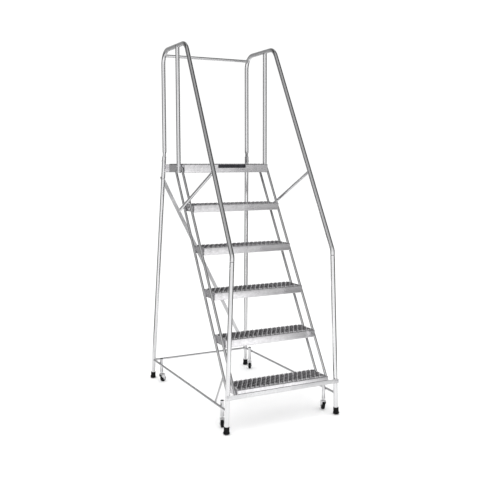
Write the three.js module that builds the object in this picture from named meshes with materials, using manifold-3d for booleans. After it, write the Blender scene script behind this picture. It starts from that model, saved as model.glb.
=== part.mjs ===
// Mobile ladder stand: a tubular rolling ladder with six grip-strut steps (the top one is the
// platform), guard rails, four rubber tips and four spring-loaded swivel casters.
// Millimetres, +Z up. The origin is on the floor below the middle of the base; the climber stands
// on the -Y side and climbs towards +Y, with the left side at -X.
import * as THREE from 'three';
import { mergeVertices } from 'three/addons/utils/BufferGeometryUtils.js';
import Module from 'manifold-3d';

// ---------------------------------------------------------------- driving dimensions
const STEP_COUNT = 6;              // five treads and the platform
const RISE = 254;                  // step to step, top face to top face
const RUN = 153;                   // how far each step lies behind the one below
const TREAD_WIDTH = 605;
const TREAD_DEPTH = 172;
const PLATFORM_DEPTH = 334;
const OVERALL_HEIGHT = 2286;       // floor to the top of the guard rails
const BASE_WIDTH = 742;            // between the centres of the rubber tips
const BASE_DEPTH = 1227;           // front tips to rear tips
const TIP_CLEARANCE = 5;           // air under the rubber tips while the casters carry the ladder
const FIT = 0.3;                   // gap left between pieces that touch

const RAIL_TUBE = { radius: 13.5, wall: 2, sides: 12 };
const STRINGER_TUBE = { radius: 8, wall: 1.5, sides: 10 };
const BRACE_TUBE = { radius: 9.5, wall: 1.5, sides: 10 };
const BASE_TUBE = { radius: 7, wall: 1.5, sides: 8 };
const STRUT_ROD = { radius: 5.5, wall: 0, sides: 8 };

const HAND_HALF = 313;             // half the distance between the guard rails
const WAIST_HALF = 330.7;          // the same where the handrail meets the front leg
const WAIST_HEIGHT = 1014;         // height of the bend between front leg and handrail
const FRONT_SEAM_DROP = 29;        // the front leg's upper end lies this far below that bend
const HANDRAIL_RUN = 688;          // bend above the front leg to the corner of the top rail
const REAR_UPRIGHT_SETBACK = 1086; // front leg to rear upright
const REAR_SHOULDER = 1605;        // lower end of the rear upright's full diameter
const REAR_SEAM = 1572;            // upper end of the rear leg
const TOP_BEND = 90;               // bend radii, on the tube's centre line
const WAIST_BEND = 48;
// a reduced tube end, as far as it reaches into the leg below
const SPIGOT = { length: 60, play: 0.9, frontCone: 4, rearCone: 10 };

const STRINGER_RISE_PER_RUN = RISE / RUN;
const FRONT_STRINGER_FOOT = 1.556; // front stringer's axis at its foot, behind the front leg
const STRINGER_SPACING = 113;      // front to rear stringer, measured level
const STRINGER_DROP = { front: 22, rear: 42 }; // upper ends below the platform's top face
const REAR_STRINGER_RAISE = 10.2;  // lower end above that of the front stringer
const STRUT = { above: 29, outward: 2 }; // its upper end is this far above the first tread

const POST_SETBACK = 820;          // front leg to mid post
const POST_DROP = 60;              // its lower end, below the platform's top face
// a brace's foot, below the last tread's top face and behind the stringers it lies beside
const BRACE_LOW = { drop: 44, behind: 42.5, outward: 1.2 };
const BRACE_HIGH = { drop: 46, inward: 2.5 }; // and its head, below the platform's top face
const GUARD_DROP = 46;             // axis of the rear guard rail, below the top of the handrails
const BASE_RAIL_HEIGHT = 133.5;
const DIAGONAL = { high: 1424, width: 25, thickness: 4, overhang: 14 };
const FRONT_BAR = { drop: 5, height: 27, ledge: 26, thickness: 2.5, endGap: 4 };

const SHEET = 2.2;                 // tread and platform sheet
const TREAD_LIP = 50;
const PLATFORM_LIP = 58;
const LIP_RETURN = 12;
const LUG = { top: 6, bottom: 50, depth: 16 }; // the platform's, below its top face
const TREAD_NOSE = 11.5;           // first tread's front edge ahead of the front leg
const DIAMOND_PITCH = 31;
const DIAMOND = { width: 22, length: 42, row: 50, border: 8 };

const TIP = { wall: 2, sides: 12, flange: 19.5, flangeTop: 9, bevel: 3, height: 40, floor: 6 };
const BOLT = { radius: 4, head: 6.5, headHeight: 3.5, beyond: 6, sides: 8 };

const CASTER_SETBACK = 105;        // caster axis from the nearest front or rear leg
const CASTER_SETBACK_REAR = 118;
const SWIVEL_AT_REST = { front_left: -22, front_right: -15, rear_left: -62, rear_right: -25 };
const TURNED_SIDES = 12;           // of the casters' round pieces
const HOUSING = { radius: 11, wall: 2, bottom: 70, top: 166, lip: 2.5, cap: 2.5, play: 1 };
const STEM_RADIUS = 5.5;
const PLUNGER = { skirt: 14, crown: 4 };
const SPRING = { wire: 1.1, turns: 5, stepsPerTurn: 7 };
const WHEEL = { radius: 22, width: 19, sides: 20, shoulder: 3 };
const WHEEL_TRAIL = 13;
const FORK = { top: 56, plate: 2.5, gap: 1.5, front: -13, back: 21, shoulder: 10, bulge: 2, eye: 8 };
const RACE = { radius: 14.5, lip: 1, bevel: 3, height: 6 };
const AXLE = { radius: 3, head: 5, headHeight: 2, running: 0.08, sides: 8 };

// ---------------------------------------------------------------- derived places
const FRONT = -BASE_DEPTH / 2;
const REAR = BASE_DEPTH / 2;
const TIP_HALF = BASE_WIDTH / 2;
const TREAD_HALF = TREAD_WIDTH / 2;
const STRINGER_X = TREAD_HALF + FIT + STRINGER_TUBE.radius;
const POST_X = TREAD_HALF + FIT + RAIL_TUBE.radius;
const TOP_AXIS = OVERALL_HEIGHT - RAIL_TUBE.radius;
const PLATFORM_TOP = STEP_COUNT * RISE;
const PLATFORM_FRONT = treadFront(STEP_COUNT);
const GUARD_HEIGHT = OVERALL_HEIGHT - GUARD_DROP;
const FRONT_BAR_BOTTOM = RISE - TREAD_LIP - FRONT_BAR.drop;
const BRACE_FOOT = (STEP_COUNT - 1) * RISE - BRACE_LOW.drop;
// A bolt ends this far past the leg's centre line, counted from outside the diagonal brace.
const BOLT_LENGTH = 2 * RAIL_TUBE.radius + BOLT.beyond;
const BEHIND_LEG = RAIL_TUBE.radius + 2 * FIT + DIAGONAL.thickness;
const REAR_LEAN = (BASE_DEPTH - REAR_UPRIGHT_SETBACK) / REAR_SHOULDER;
// The brace's lower bolt tips down with the leaning leg and just passes over the base rail.
const DIAGONAL_LOW =
  BASE_RAIL_HEIGHT + BASE_TUBE.radius + FIT + BOLT.radius + (BOLT_LENGTH - BEHIND_LEG) * REAR_LEAN;
const STRINGER_FEET = FRONT_BAR_BOTTOM + FRONT_BAR.thickness + FIT;

function treadFront(step) {
  return FRONT - TREAD_NOSE + RUN * (step - 1);
}

const at = (x, y, z) => new THREE.Vector3(x, y, z);
const along = (a, b, share) => a.clone().lerp(b, share);
const pointAtHeight = (a, b, z) => along(a, b, (z - a.z) / (b.z - a.z));

// Centre lines of one side of the frame; side is -1 for the left and 1 for the right.
function sideLines(side) {
  const frontFoot = at(side * TIP_HALF, FRONT, 0);
  const rearFoot = at(side * TIP_HALF, REAR, 0);
  const waist = at(side * WAIST_HALF, FRONT, WAIST_HEIGHT);
  const topFront = at(side * HAND_HALF, FRONT + HANDRAIL_RUN, TOP_AXIS);
  const topRear = at(side * HAND_HALF, FRONT + REAR_UPRIGHT_SETBACK, TOP_AXIS);
  const rearShoulder = at(side * HAND_HALF, FRONT + REAR_UPRIGHT_SETBACK, REAR_SHOULDER);
  const stringer = (setback, z) =>
    at(side * STRINGER_X, FRONT + setback + (z - STRINGER_FEET) / STRINGER_RISE_PER_RUN, z);
  return {
    frontFoot,
    rearFoot,
    waist,
    topFront,
    topRear,
    rearShoulder,
    frontSeam: pointAtHeight(frontFoot, waist, WAIST_HEIGHT - FRONT_SEAM_DROP),
    rearSeam: pointAtHeight(rearFoot, rearShoulder, REAR_SEAM),
    frontLegAt: (z) => pointAtHeight(frontFoot, waist, z),
    rearLegAt: (z) => pointAtHeight(rearFoot, rearShoulder, z),
    handrailAt: (z) => pointAtHeight(waist, topFront, z),
    frontStringerAt: (z) => stringer(FRONT_STRINGER_FOOT, z),
    rearStringerAt: (z) => stringer(FRONT_STRINGER_FOOT + STRINGER_SPACING, z),
  };
}

// ---------------------------------------------------------------- solids
const wasm = await Module();
wasm.setup();

function solidOf(geometry) {
  const bare = geometry.clone();
  bare.deleteAttribute('normal');
  bare.deleteAttribute('uv');
  const merged = mergeVertices(bare, 1e-3);
  return new wasm.Manifold(
    new wasm.Mesh({
      numProp: 3,
      vertProperties: merged.attributes.position.array,
      triVerts: new Uint32Array(merged.index.array),
    }),
  );
}

function geometryOf(solid) {
  const mesh = solid.getMesh();
  const geometry = new THREE.BufferGeometry();
  geometry.setAttribute('position', new THREE.BufferAttribute(mesh.vertProperties, 3));
  geometry.setIndex(new THREE.BufferAttribute(mesh.triVerts, 1));
  geometry.computeVertexNormals();
  return geometry;
}

function cut(solid, ...cutters) {
  return cutters.reduce((left, cutter) => left.subtract(cutter), solid);
}

function join(solid, ...others) {
  return others.reduce((whole, other) => whole.add(other), solid);
}

function boxSolid(low, high) {
  const size = high.clone().sub(low);
  const middle = along(low, high, 0.5);
  const box = new THREE.BoxGeometry(size.x, size.y, size.z);
  return solidOf(box.translate(middle.x, middle.y, middle.z));
}

function polygon(radius, sides) {
  const corner = (i) => {
    const angle = (2 * Math.PI * i) / sides;
    return new THREE.Vector2(radius * Math.cos(angle), radius * Math.sin(angle));
  };
  return Array.from({ length: sides }, (_, i) => corner(i));
}

// A bent centre line whose sweep has one section at each station.
class BentLine extends THREE.Curve {
  constructor(stations) {
    super();
    this.stations = stations;
  }

  getPoint(t, target = new THREE.Vector3()) {
    const last = this.stations.length - 1;
    const place = THREE.MathUtils.clamp(t, 0, 1) * last;
    const index = Math.min(Math.floor(place), last - 1);
    return target.lerpVectors(this.stations[index], this.stations[index + 1], place - index);
  }

  getUtoTmapping(u) {
    return u;
  }
}

// The corners of a line, with an arc in place of each inner corner.
function roundCorners(corners, radius, steps) {
  const stations = [corners[0]];
  for (let i = 1; i < corners.length - 1; i += 1) {
    const back = corners[i - 1].clone().sub(corners[i]).normalize();
    const ahead = corners[i + 1].clone().sub(corners[i]).normalize();
    const half = back.angleTo(ahead) / 2;
    const reach = radius / Math.tan(half);
    const middle = back.clone().add(ahead).normalize();
    const centre = corners[i].clone().addScaledVector(middle, radius / Math.sin(half));
    const first = corners[i].clone().addScaledVector(back, reach).sub(centre);
    const last = corners[i].clone().addScaledVector(ahead, reach).sub(centre);
    const sweep = first.angleTo(last);
    for (let step = 0; step <= steps; step += 1) {
      const angle = (sweep * step) / steps;
      stations.push(
        centre
          .clone()
          .addScaledVector(first, Math.sin(sweep - angle) / Math.sin(sweep))
          .addScaledVector(last, Math.sin(angle) / Math.sin(sweep)),
      );
    }
  }
  stations.push(corners[corners.length - 1]);
  return stations;
}

// A tube (or a rod, with no wall) along the stations.
function sweptGeometry(stations, { radius, wall, sides }) {
  const section = new THREE.Shape(polygon(radius, sides));
  if (wall > 0) section.holes.push(new THREE.Path(polygon(radius - wall, sides)));
  return new THREE.ExtrudeGeometry(section, {
    steps: stations.length - 1,
    extrudePath: new BentLine(stations),
    bevelEnabled: false,
  });
}

function sweep(stations, tube) {
  return solidOf(sweptGeometry(stations, tube));
}

// The corner radius of a polygon that clears a round piece all the way round.
function clearOf(radius, sides) {
  return (radius + FIT) / Math.cos(Math.PI / sides);
}

// The space that a tube takes from the pieces that end against it.
function clearanceAround(stations, { radius, sides }) {
  return sweep(stations, { radius: clearOf(radius, sides), wall: 0, sides });
}

// A turned piece: the profile is a list of [radius, height], closed on itself or on the axis.
function turned(profile, sides) {
  const points = profile.map(([radius, height]) => new THREE.Vector2(radius, height));
  const lathe = new THREE.LatheGeometry(points, sides);
  return solidOf(lathe.rotateX(Math.PI / 2));
}

function placeAlong(solid, from, towards) {
  const turn = new THREE.Quaternion().setFromUnitVectors(
    at(0, 0, 1),
    towards.clone().sub(from).normalize(),
  );
  const geometry = geometryOf(solid);
  geometry.applyQuaternion(turn).translate(from.x, from.y, from.z);
  return solidOf(geometry);
}

// ---------------------------------------------------------------- materials
const finish = (color, roughness, metalness) =>
  new THREE.MeshStandardMaterial({ color, roughness, metalness });
const POLISHED_TUBE = finish(0xd9dadc, 0.18, 1);
const SATIN_TREAD = finish(0x9a9a9c, 0.45, 1);
const SATIN_BAR = finish(0xb4b6b8, 0.35, 1);
const ZINC = finish(0xc4c8cc, 0.32, 1);
const RUBBER = finish(0x0b0b0c, 0.85, 0);
const WHEEL_BLACK = finish(0x101011, 0.6, 0);
const SPRING_STEEL = finish(0x7d8084, 0.4, 1);

const ladder = new THREE.Group();

function add(name, solid, material, parent = ladder) {
  const mesh = new THREE.Mesh(geometryOf(solid), material);
  mesh.name = name;
  parent.add(mesh);
  return mesh;
}

// ---------------------------------------------------------------- frame tubes
// Draws a tube's end in, past the cone that starts at the shoulder, so that it slides into the
// next tube.
function reduceEnd(geometry, shoulder, direction, coneLength, amount) {
  const places = geometry.attributes.position;
  const place = new THREE.Vector3();
  for (let i = 0; i < places.count; i += 1) {
    place.fromBufferAttribute(places, i).sub(shoulder);
    const beyond = place.dot(direction);
    const outward = place.clone().addScaledVector(direction, -beyond);
    if (beyond < coneLength / 2 || outward.length() > 2 * RAIL_TUBE.radius) continue;
    place.add(shoulder).addScaledVector(outward.normalize(), -amount);
    places.setXYZ(i, place.x, place.y, place.z);
  }
}

function handrailStations(lines) {
  const corners = [lines.frontSeam, lines.waist, lines.topFront, lines.topRear, lines.rearShoulder];
  const waistBend = roundCorners(corners.slice(0, 3), WAIST_BEND, 3).slice(0, -1);
  const topBends = roundCorners(corners.slice(1), TOP_BEND, 6).slice(1);
  return [...waistBend, ...topBends];
}

// The handrail, top rail and rear upright are one bent tube, reduced at both ends.
function makeHandrail(lines) {
  const { frontCone, rearCone } = SPIGOT;
  const down = lines.frontFoot.clone().sub(lines.waist).normalize();
  const rearDown = lines.rearFoot.clone().sub(lines.rearShoulder).normalize();
  const visible = REAR_SHOULDER - REAR_SEAM;
  const stations = [
    lines.frontSeam.clone().addScaledVector(down, SPIGOT.length),
    lines.frontSeam.clone().addScaledVector(down, frontCone),
    ...handrailStations(lines),
    lines.rearShoulder.clone().addScaledVector(rearDown, rearCone),
    lines.rearShoulder.clone().addScaledVector(rearDown, visible + SPIGOT.length),
  ];
  const tube = sweptGeometry(stations, RAIL_TUBE);
  const amount = RAIL_TUBE.wall + SPIGOT.play;
  reduceEnd(tube, lines.frontSeam, down, frontCone, amount);
  reduceEnd(tube, lines.rearShoulder, rearDown, rearCone, amount);
  return solidOf(tube);
}

// A leg from just inside its rubber tip to just below the cone of the tube above it.
function makeLeg(foot, seam, cone) {
  const start = pointAtHeight(foot, seam, TIP_CLEARANCE + TIP.floor + 2 * FIT);
  const end = pointAtHeight(foot, seam, seam.z - cone - FIT);
  return sweep([start, end], RAIL_TUBE);
}

function makeGuardRail(lines, mirrored) {
  const turn = Math.asin((GUARD_HEIGHT - TOP_AXIS + TOP_BEND) / TOP_BEND);
  const y = lines.topRear.y - TOP_BEND * (1 - Math.cos(turn));
  const ends = [at(lines.topRear.x, y, GUARD_HEIGHT), at(mirrored.topRear.x, y, GUARD_HEIGHT)];
  return cut(
    sweep(ends, BRACE_TUBE),
    clearanceAround(handrailStations(lines), RAIL_TUBE),
    clearanceAround(handrailStations(mirrored), RAIL_TUBE),
  );
}

function makeMidPost(lines, side) {
  const y = FRONT + POST_SETBACK;
  const foot = at(side * POST_X, y, PLATFORM_TOP - POST_DROP);
  const post = sweep([foot, at(side * POST_X, y, TOP_AXIS)], RAIL_TUBE);
  return cut(post, clearanceAround(handrailStations(lines), RAIL_TUBE));
}

function makeSideRail(lines) {
  const front = lines.frontLegAt(BASE_RAIL_HEIGHT);
  const rear = lines.rearLegAt(BASE_RAIL_HEIGHT);
  return cut(
    sweep([front, rear], BASE_TUBE),
    clearanceAround([lines.frontFoot, lines.frontSeam], RAIL_TUBE),
    clearanceAround([lines.rearFoot, lines.rearSeam], RAIL_TUBE),
  );
}

function makeRearCrossBar(left, right) {
  return cut(
    sweep([left.rearLegAt(BASE_RAIL_HEIGHT), right.rearLegAt(BASE_RAIL_HEIGHT)], BASE_TUBE),
    clearanceAround([left.rearFoot, left.rearSeam], RAIL_TUBE),
    clearanceAround([right.rearFoot, right.rearSeam], RAIL_TUBE),
  );
}

// An angle bar in front of the legs; its ledge carries the stringers and lies between the legs.
function makeFrontCrossBar(lines) {
  const back = FRONT - RAIL_TUBE.radius - FIT;
  const face = back - FRONT_BAR.thickness;
  const top = FRONT_BAR_BOTTOM + FRONT_BAR.height;
  const half = lines.frontLegAt(FRONT_BAR_BOTTOM).x + RAIL_TUBE.radius;
  const inside = lines.frontLegAt(top).x - RAIL_TUBE.radius - FRONT_BAR.endGap;
  const web = boxSolid(at(-half, face, FRONT_BAR_BOTTOM), at(half, back, top));
  const ledge = boxSolid(
    at(-inside, face, FRONT_BAR_BOTTOM),
    at(inside, face + FRONT_BAR.ledge, FRONT_BAR_BOTTOM + FRONT_BAR.thickness),
  );
  return join(web, ledge);
}

// ---------------------------------------------------------------- stair
function makeStringer(low, high) {
  const overrun = high.clone().sub(low).normalize().multiplyScalar(4 * STRINGER_TUBE.radius);
  const tube = sweep([low.clone().sub(overrun), high.clone().add(overrun)], STRINGER_TUBE);
  const reach = 200;
  const below = boxSolid(
    at(low.x - reach, low.y - reach, low.z - reach),
    at(low.x + reach, low.y + reach, low.z),
  );
  const above = boxSolid(
    at(high.x - reach, high.y - reach, high.z),
    at(high.x + reach, high.y + reach, high.z + reach),
  );
  return cut(tube, below, above);
}

function makeStrut(lines, side) {
  const top = lines.rearStringerAt(RISE + STRUT.above);
  const railShare = (top.y - FRONT) / (lines.rearLegAt(BASE_RAIL_HEIGHT).y - FRONT);
  const bottom = along(
    lines.frontLegAt(BASE_RAIL_HEIGHT),
    lines.rearLegAt(BASE_RAIL_HEIGHT),
    railShare,
  );
  const tube = sweep([at(top.x + side * STRUT.outward, top.y, top.z), bottom], STRUT_ROD);
  const stringer = [
    lines.rearStringerAt(STRINGER_FEET + REAR_STRINGER_RAISE),
    lines.rearStringerAt(RISE + STRUT.above + RISE),
  ];
  return cut(
    tube,
    clearanceAround(stringer, STRINGER_TUBE),
    clearanceAround(
      [lines.frontLegAt(BASE_RAIL_HEIGHT), lines.rearLegAt(BASE_RAIL_HEIGHT)],
      BASE_TUBE,
    ),
  );
}

function makeHandrailBrace(lines, side) {
  const beside = STRINGER_X + STRINGER_TUBE.radius + FIT + BRACE_TUBE.radius;
  const footY = lines.rearStringerAt(BRACE_FOOT).y + BRACE_LOW.behind;
  const low = at(side * (beside + BRACE_LOW.outward), footY, BRACE_FOOT);
  const rail = lines.handrailAt(PLATFORM_TOP - BRACE_HIGH.drop);
  const high = at(side * (beside - BRACE_HIGH.inward), rail.y, rail.z);
  return cut(
    sweep([low, high], BRACE_TUBE),
    clearanceAround([lines.waist, lines.topFront], RAIL_TUBE),
  );
}

// The holes of a grip-strut plank: straight rows of diamonds across the width.
function diamonds(width, depth) {
  const columns = Math.floor((width - 2 * DIAMOND.border) / DIAMOND_PITCH);
  const rows = Math.round((depth - 2 * DIAMOND.border) / DIAMOND.row);
  const rowPitch = (depth - 2 * DIAMOND.border) / rows;
  const holes = [];
  for (let row = 0; row < rows; row += 1) {
    for (let column = 0; column < columns; column += 1) {
      const x = (column - (columns - 1) / 2) * DIAMOND_PITCH;
      const y = DIAMOND.border + (row + 0.5) * rowPitch;
      holes.push(
        new THREE.Path([
          new THREE.Vector2(x - DIAMOND.width / 2, y),
          new THREE.Vector2(x, y + DIAMOND.length / 2),
          new THREE.Vector2(x + DIAMOND.width / 2, y),
          new THREE.Vector2(x, y - DIAMOND.length / 2),
        ]),
      );
    }
  }
  return holes;
}

// A plank with its lips folded down and closed by end plates. The origin of its own frame is at
// the middle of its top front edge.
function makePlank(depth, lip) {
  const deck = new THREE.Shape([
    new THREE.Vector2(-TREAD_HALF, 0),
    new THREE.Vector2(TREAD_HALF, 0),
    new THREE.Vector2(TREAD_HALF, depth),
    new THREE.Vector2(-TREAD_HALF, depth),
  ]);
  deck.holes.push(...diamonds(TREAD_WIDTH, depth));
  const plate = solidOf(
    new THREE.ExtrudeGeometry(deck, { depth: SHEET, bevelEnabled: false }).translate(0, 0, -SHEET),
  );
  const fold = (y0, y1, z0, z1) => boxSolid(at(-TREAD_HALF, y0, z0), at(TREAD_HALF, y1, z1));
  const endPlate = (side) =>
    boxSolid(
      at(Math.min(side * TREAD_HALF, side * (TREAD_HALF - SHEET)), 0, -lip),
      at(Math.max(side * TREAD_HALF, side * (TREAD_HALF - SHEET)), depth, 0),
    );
  return join(
    plate,
    fold(0, SHEET, -lip, 0),
    fold(0, LIP_RETURN, -lip, SHEET - lip),
    fold(depth - SHEET, depth, -lip, 0),
    fold(depth - LIP_RETURN, depth, -lip, SHEET - lip),
    endPlate(-1),
    endPlate(1),
  );
}

// The platform also has a lug at each rear corner, welded to the rear leg.
function makePlatform(left, right) {
  const lugs = [left, right].map((lines) => {
    const leg = lines.rearLegAt(PLATFORM_TOP);
    const side = Math.sign(leg.x);
    const inner = side * (TREAD_HALF - SHEET / 2);
    return boxSolid(
      at(Math.min(inner, leg.x), PLATFORM_DEPTH - LUG.depth, -LUG.bottom),
      at(Math.max(inner, leg.x), PLATFORM_DEPTH, -LUG.top),
    );
  });
  const legs = [left, right].map((lines) =>
    solidOf(
      geometryOf(clearanceAround([lines.rearFoot, lines.rearSeam], RAIL_TUBE)).translate(
        0,
        -PLATFORM_FRONT,
        -PLATFORM_TOP,
      ),
    ),
  );
  return cut(join(makePlank(PLATFORM_DEPTH, PLATFORM_LIP), ...lugs), ...legs);
}

// A flat bar behind the rear legs, from high on the left one to low on the right one.
function makeDiagonal(left, right) {
  const high = left.rearLegAt(DIAGONAL.high);
  const low = right.rearLegAt(DIAGONAL_LOW);
  const run = low.clone().sub(high);
  const across = run.clone().normalize();
  const leg = left.rearFoot.clone().sub(left.rearSeam);
  const outward = at(0, -leg.z, leg.y).normalize();
  const inPlane = outward.clone().cross(across).normalize();
  const normal = across.clone().cross(inPlane);
  const length = run.length() + 2 * DIAGONAL.overhang;
  const bar = new THREE.BoxGeometry(length, DIAGONAL.width, DIAGONAL.thickness);
  const turn = new THREE.Matrix4().makeBasis(across, inPlane, normal);
  const offset = RAIL_TUBE.radius + FIT + DIAGONAL.thickness / 2;
  const centre = along(high, low, 0.5).addScaledVector(outward, offset);
  bar.applyMatrix4(turn).translate(centre.x, centre.y, centre.z);
  return { solid: solidOf(bar), high, low, outward };
}

// ---------------------------------------------------------------- tips and bolts
function makeTip(foot, towards) {
  const inner = clearOf(RAIL_TUBE.radius, TIP.sides);
  const outer = inner + TIP.wall;
  const deep = 10;
  const cup = turned(
    [
      [0, -deep],
      [TIP.flange - TIP.bevel / 2, -deep],
      [TIP.flange - TIP.bevel / 2, 0],
      [TIP.flange, TIP.bevel],
      [TIP.flange, TIP.flangeTop - TIP.bevel],
      [outer, TIP.flangeTop],
      [outer, TIP.height],
      [inner, TIP.height],
      [inner, TIP.floor],
      [0, TIP.floor],
    ],
    TIP.sides,
  );
  const base = pointAtHeight(foot, towards, TIP_CLEARANCE);
  const reach = 60;
  const floor = boxSolid(
    at(base.x - reach, base.y - reach, -reach),
    at(base.x + reach, base.y + reach, TIP_CLEARANCE),
  );
  return cut(placeAlong(cup, base, towards), floor);
}

// A bolt with its head at the origin side of its shank, along +Z.
function makeBolt(length) {
  const head = new THREE.CylinderGeometry(BOLT.head, BOLT.head, BOLT.headHeight, 6);
  const shank = new THREE.CylinderGeometry(BOLT.radius, BOLT.radius, length + 1, BOLT.sides);
  return join(
    solidOf(head.rotateX(Math.PI / 2).translate(0, 0, -BOLT.headHeight / 2)),
    solidOf(shank.rotateX(Math.PI / 2).translate(0, 0, (length - 1) / 2)),
  );
}

function boltHole(from, towards, length = 4 * RAIL_TUBE.radius) {
  const reach = 2 * BOLT.headHeight;
  const hole = new THREE.CylinderGeometry(BOLT.radius + FIT, BOLT.radius + FIT, length, BOLT.sides);
  hole.rotateX(Math.PI / 2).translate(0, 0, length / 2 - reach);
  return placeAlong(solidOf(hole), from, towards);
}

// ---------------------------------------------------------------- casters
function makeHousing() {
  const bore = HOUSING.radius - HOUSING.wall;
  return turned(
    [
      [STEM_RADIUS + HOUSING.play, HOUSING.bottom],
      [HOUSING.radius, HOUSING.bottom],
      [HOUSING.radius, HOUSING.top - HOUSING.wall],
      [HOUSING.radius - HOUSING.wall, HOUSING.top],
      [0, HOUSING.top],
      [0, HOUSING.top - HOUSING.cap],
      [bore, HOUSING.top - HOUSING.cap],
      [bore, HOUSING.bottom + HOUSING.lip],
      [STEM_RADIUS + HOUSING.play, HOUSING.bottom + HOUSING.lip],
      [STEM_RADIUS + HOUSING.play, HOUSING.bottom],
    ],
    TURNED_SIDES,
  );
}

const PLUNGER_BOTTOM = HOUSING.bottom + HOUSING.lip + FIT;
const PLUNGER_TOP = PLUNGER_BOTTOM + PLUNGER.skirt + PLUNGER.crown;

function makePlunger() {
  const outer = HOUSING.radius - HOUSING.wall - 2 * FIT;
  const bore = STEM_RADIUS + FIT;
  return turned(
    [
      [bore, PLUNGER_BOTTOM],
      [outer, PLUNGER_BOTTOM],
      [outer, PLUNGER_TOP],
      [0, PLUNGER_TOP],
      [0, PLUNGER_TOP - PLUNGER.crown],
      [bore, PLUNGER_TOP - PLUNGER.crown],
      [bore, PLUNGER_BOTTOM],
    ],
    TURNED_SIDES,
  );
}

function makeSpring() {
  const coil = HOUSING.radius - HOUSING.wall - SPRING.wire - 3 * FIT;
  const low = PLUNGER_TOP + SPRING.wire + FIT;
  const high = HOUSING.top - HOUSING.cap - SPRING.wire - FIT;
  const count = SPRING.turns * SPRING.stepsPerTurn;
  const stations = Array.from({ length: count + 1 }, (_, i) => {
    const angle = (2 * Math.PI * i) / SPRING.stepsPerTurn;
    return at(coil * Math.cos(angle), coil * Math.sin(angle), low + ((high - low) * i) / count);
  });
  return sweep(stations, { radius: SPRING.wire, wall: 0, sides: 4 });
}

// The pressed fork with its ball race and stem; the wheel trails behind the stem along +Y.
function makeFork() {
  const half = WHEEL.width / 2 + FORK.gap;
  const topOfPlate = FORK.top - FORK.plate;
  const outline = new THREE.Shape();
  outline.moveTo(FORK.front, FORK.top);
  outline.lineTo(FORK.back, FORK.top);
  outline.lineTo(FORK.back + FORK.bulge, FORK.top - FORK.shoulder);
  outline.lineTo(WHEEL_TRAIL + FORK.eye, WHEEL.radius);
  outline.absarc(WHEEL_TRAIL, WHEEL.radius, FORK.eye, 0, -Math.PI, true);
  outline.lineTo(FORK.front - FORK.bulge, FORK.top - FORK.shoulder);
  const cheek = new THREE.ExtrudeGeometry(outline, {
    depth: FORK.plate,
    bevelEnabled: false,
    curveSegments: 4,
  });
  // the outline's first axis becomes +Y and its second +Z
  cheek.rotateX(Math.PI / 2).rotateZ(Math.PI / 2);
  const cheeks = [
    solidOf(cheek.clone().translate(half, 0, 0)),
    solidOf(cheek.clone().translate(-half - FORK.plate, 0, 0)),
  ];
  const crown = boxSolid(
    at(-half - FORK.plate, FORK.front, topOfPlate),
    at(half + FORK.plate, FORK.back, FORK.top),
  );
  const stem = turned(
    [
      [0, topOfPlate],
      [RACE.radius, topOfPlate],
      [RACE.radius, FORK.top + RACE.lip],
      [RACE.radius - RACE.bevel, FORK.top + RACE.height],
      [STEM_RADIUS, FORK.top + RACE.height],
      [STEM_RADIUS, PLUNGER_TOP - PLUNGER.crown - FIT],
      [0, PLUNGER_TOP - PLUNGER.crown - FIT],
    ],
    TURNED_SIDES,
  );
  return cut(join(crown, ...cheeks, stem), axleBore(clearOf(AXLE.radius, AXLE.sides)));
}

function axleBore(radius) {
  const length = 4 * WHEEL.width;
  const bore = new THREE.CylinderGeometry(radius, radius, length, AXLE.sides);
  return solidOf(bore.rotateZ(Math.PI / 2).translate(0, WHEEL_TRAIL, WHEEL.radius));
}

function makeAxle() {
  const half = WHEEL.width / 2 + FORK.gap + FORK.plate + FIT;
  const rod = new THREE.CylinderGeometry(AXLE.radius, AXLE.radius, 2 * half + 1, AXLE.sides);
  const head = new THREE.CylinderGeometry(AXLE.head, AXLE.head, AXLE.headHeight, AXLE.sides);
  head.rotateZ(Math.PI / 2);
  const out = half + AXLE.headHeight / 2;
  return join(
    solidOf(rod.rotateZ(Math.PI / 2)),
    solidOf(head.clone().translate(out, 0, 0)),
    solidOf(head.clone().translate(-out, 0, 0)),
  );
}

// The wheel's own axis is X; a flat of its polygon faces the floor.
function makeWheel() {
  const rim = WHEEL.radius / Math.cos(Math.PI / WHEEL.sides);
  const bore = (AXLE.radius + AXLE.running) / Math.cos(Math.PI / WHEEL.sides);
  const half = WHEEL.width / 2;
  const wheel = turned(
    [
      [bore, -half],
      [rim - WHEEL.shoulder, -half],
      [rim, -half + WHEEL.shoulder],
      [rim, half - WHEEL.shoulder],
      [rim - WHEEL.shoulder, half],
      [bore, half],
      [bore, -half],
    ],
    WHEEL.sides,
  );
  const geometry = geometryOf(wheel);
  geometry.rotateY(Math.PI / 2).rotateX(Math.PI / WHEEL.sides);
  return solidOf(geometry);
}

function addCaster(name, x, y) {
  const corner = new THREE.Group();
  corner.position.set(x, y, 0);
  ladder.add(corner);
  add(`${name}_caster_housing`, makeHousing(), ZINC, corner);
  add(`${name}_caster_spring`, makeSpring(), SPRING_STEEL, corner);
  add(`${name}_caster_plunger`, makePlunger(), ZINC, corner);
  const swivel = new THREE.Group();
  swivel.rotation.z = THREE.MathUtils.degToRad(SWIVEL_AT_REST[name]);
  corner.add(swivel);
  add(`${name}_caster_fork`, makeFork(), ZINC, swivel);
  const axle = add(`${name}_caster_axle`, makeAxle(), ZINC, swivel);
  const wheel = add(`${name}_caster_wheel`, makeWheel(), WHEEL_BLACK, swivel);
  axle.position.set(0, WHEEL_TRAIL, WHEEL.radius);
  wheel.position.copy(axle.position);
}

// ---------------------------------------------------------------- assembly
const LEFT = sideLines(-1);
const RIGHT = sideLines(1);

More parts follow.
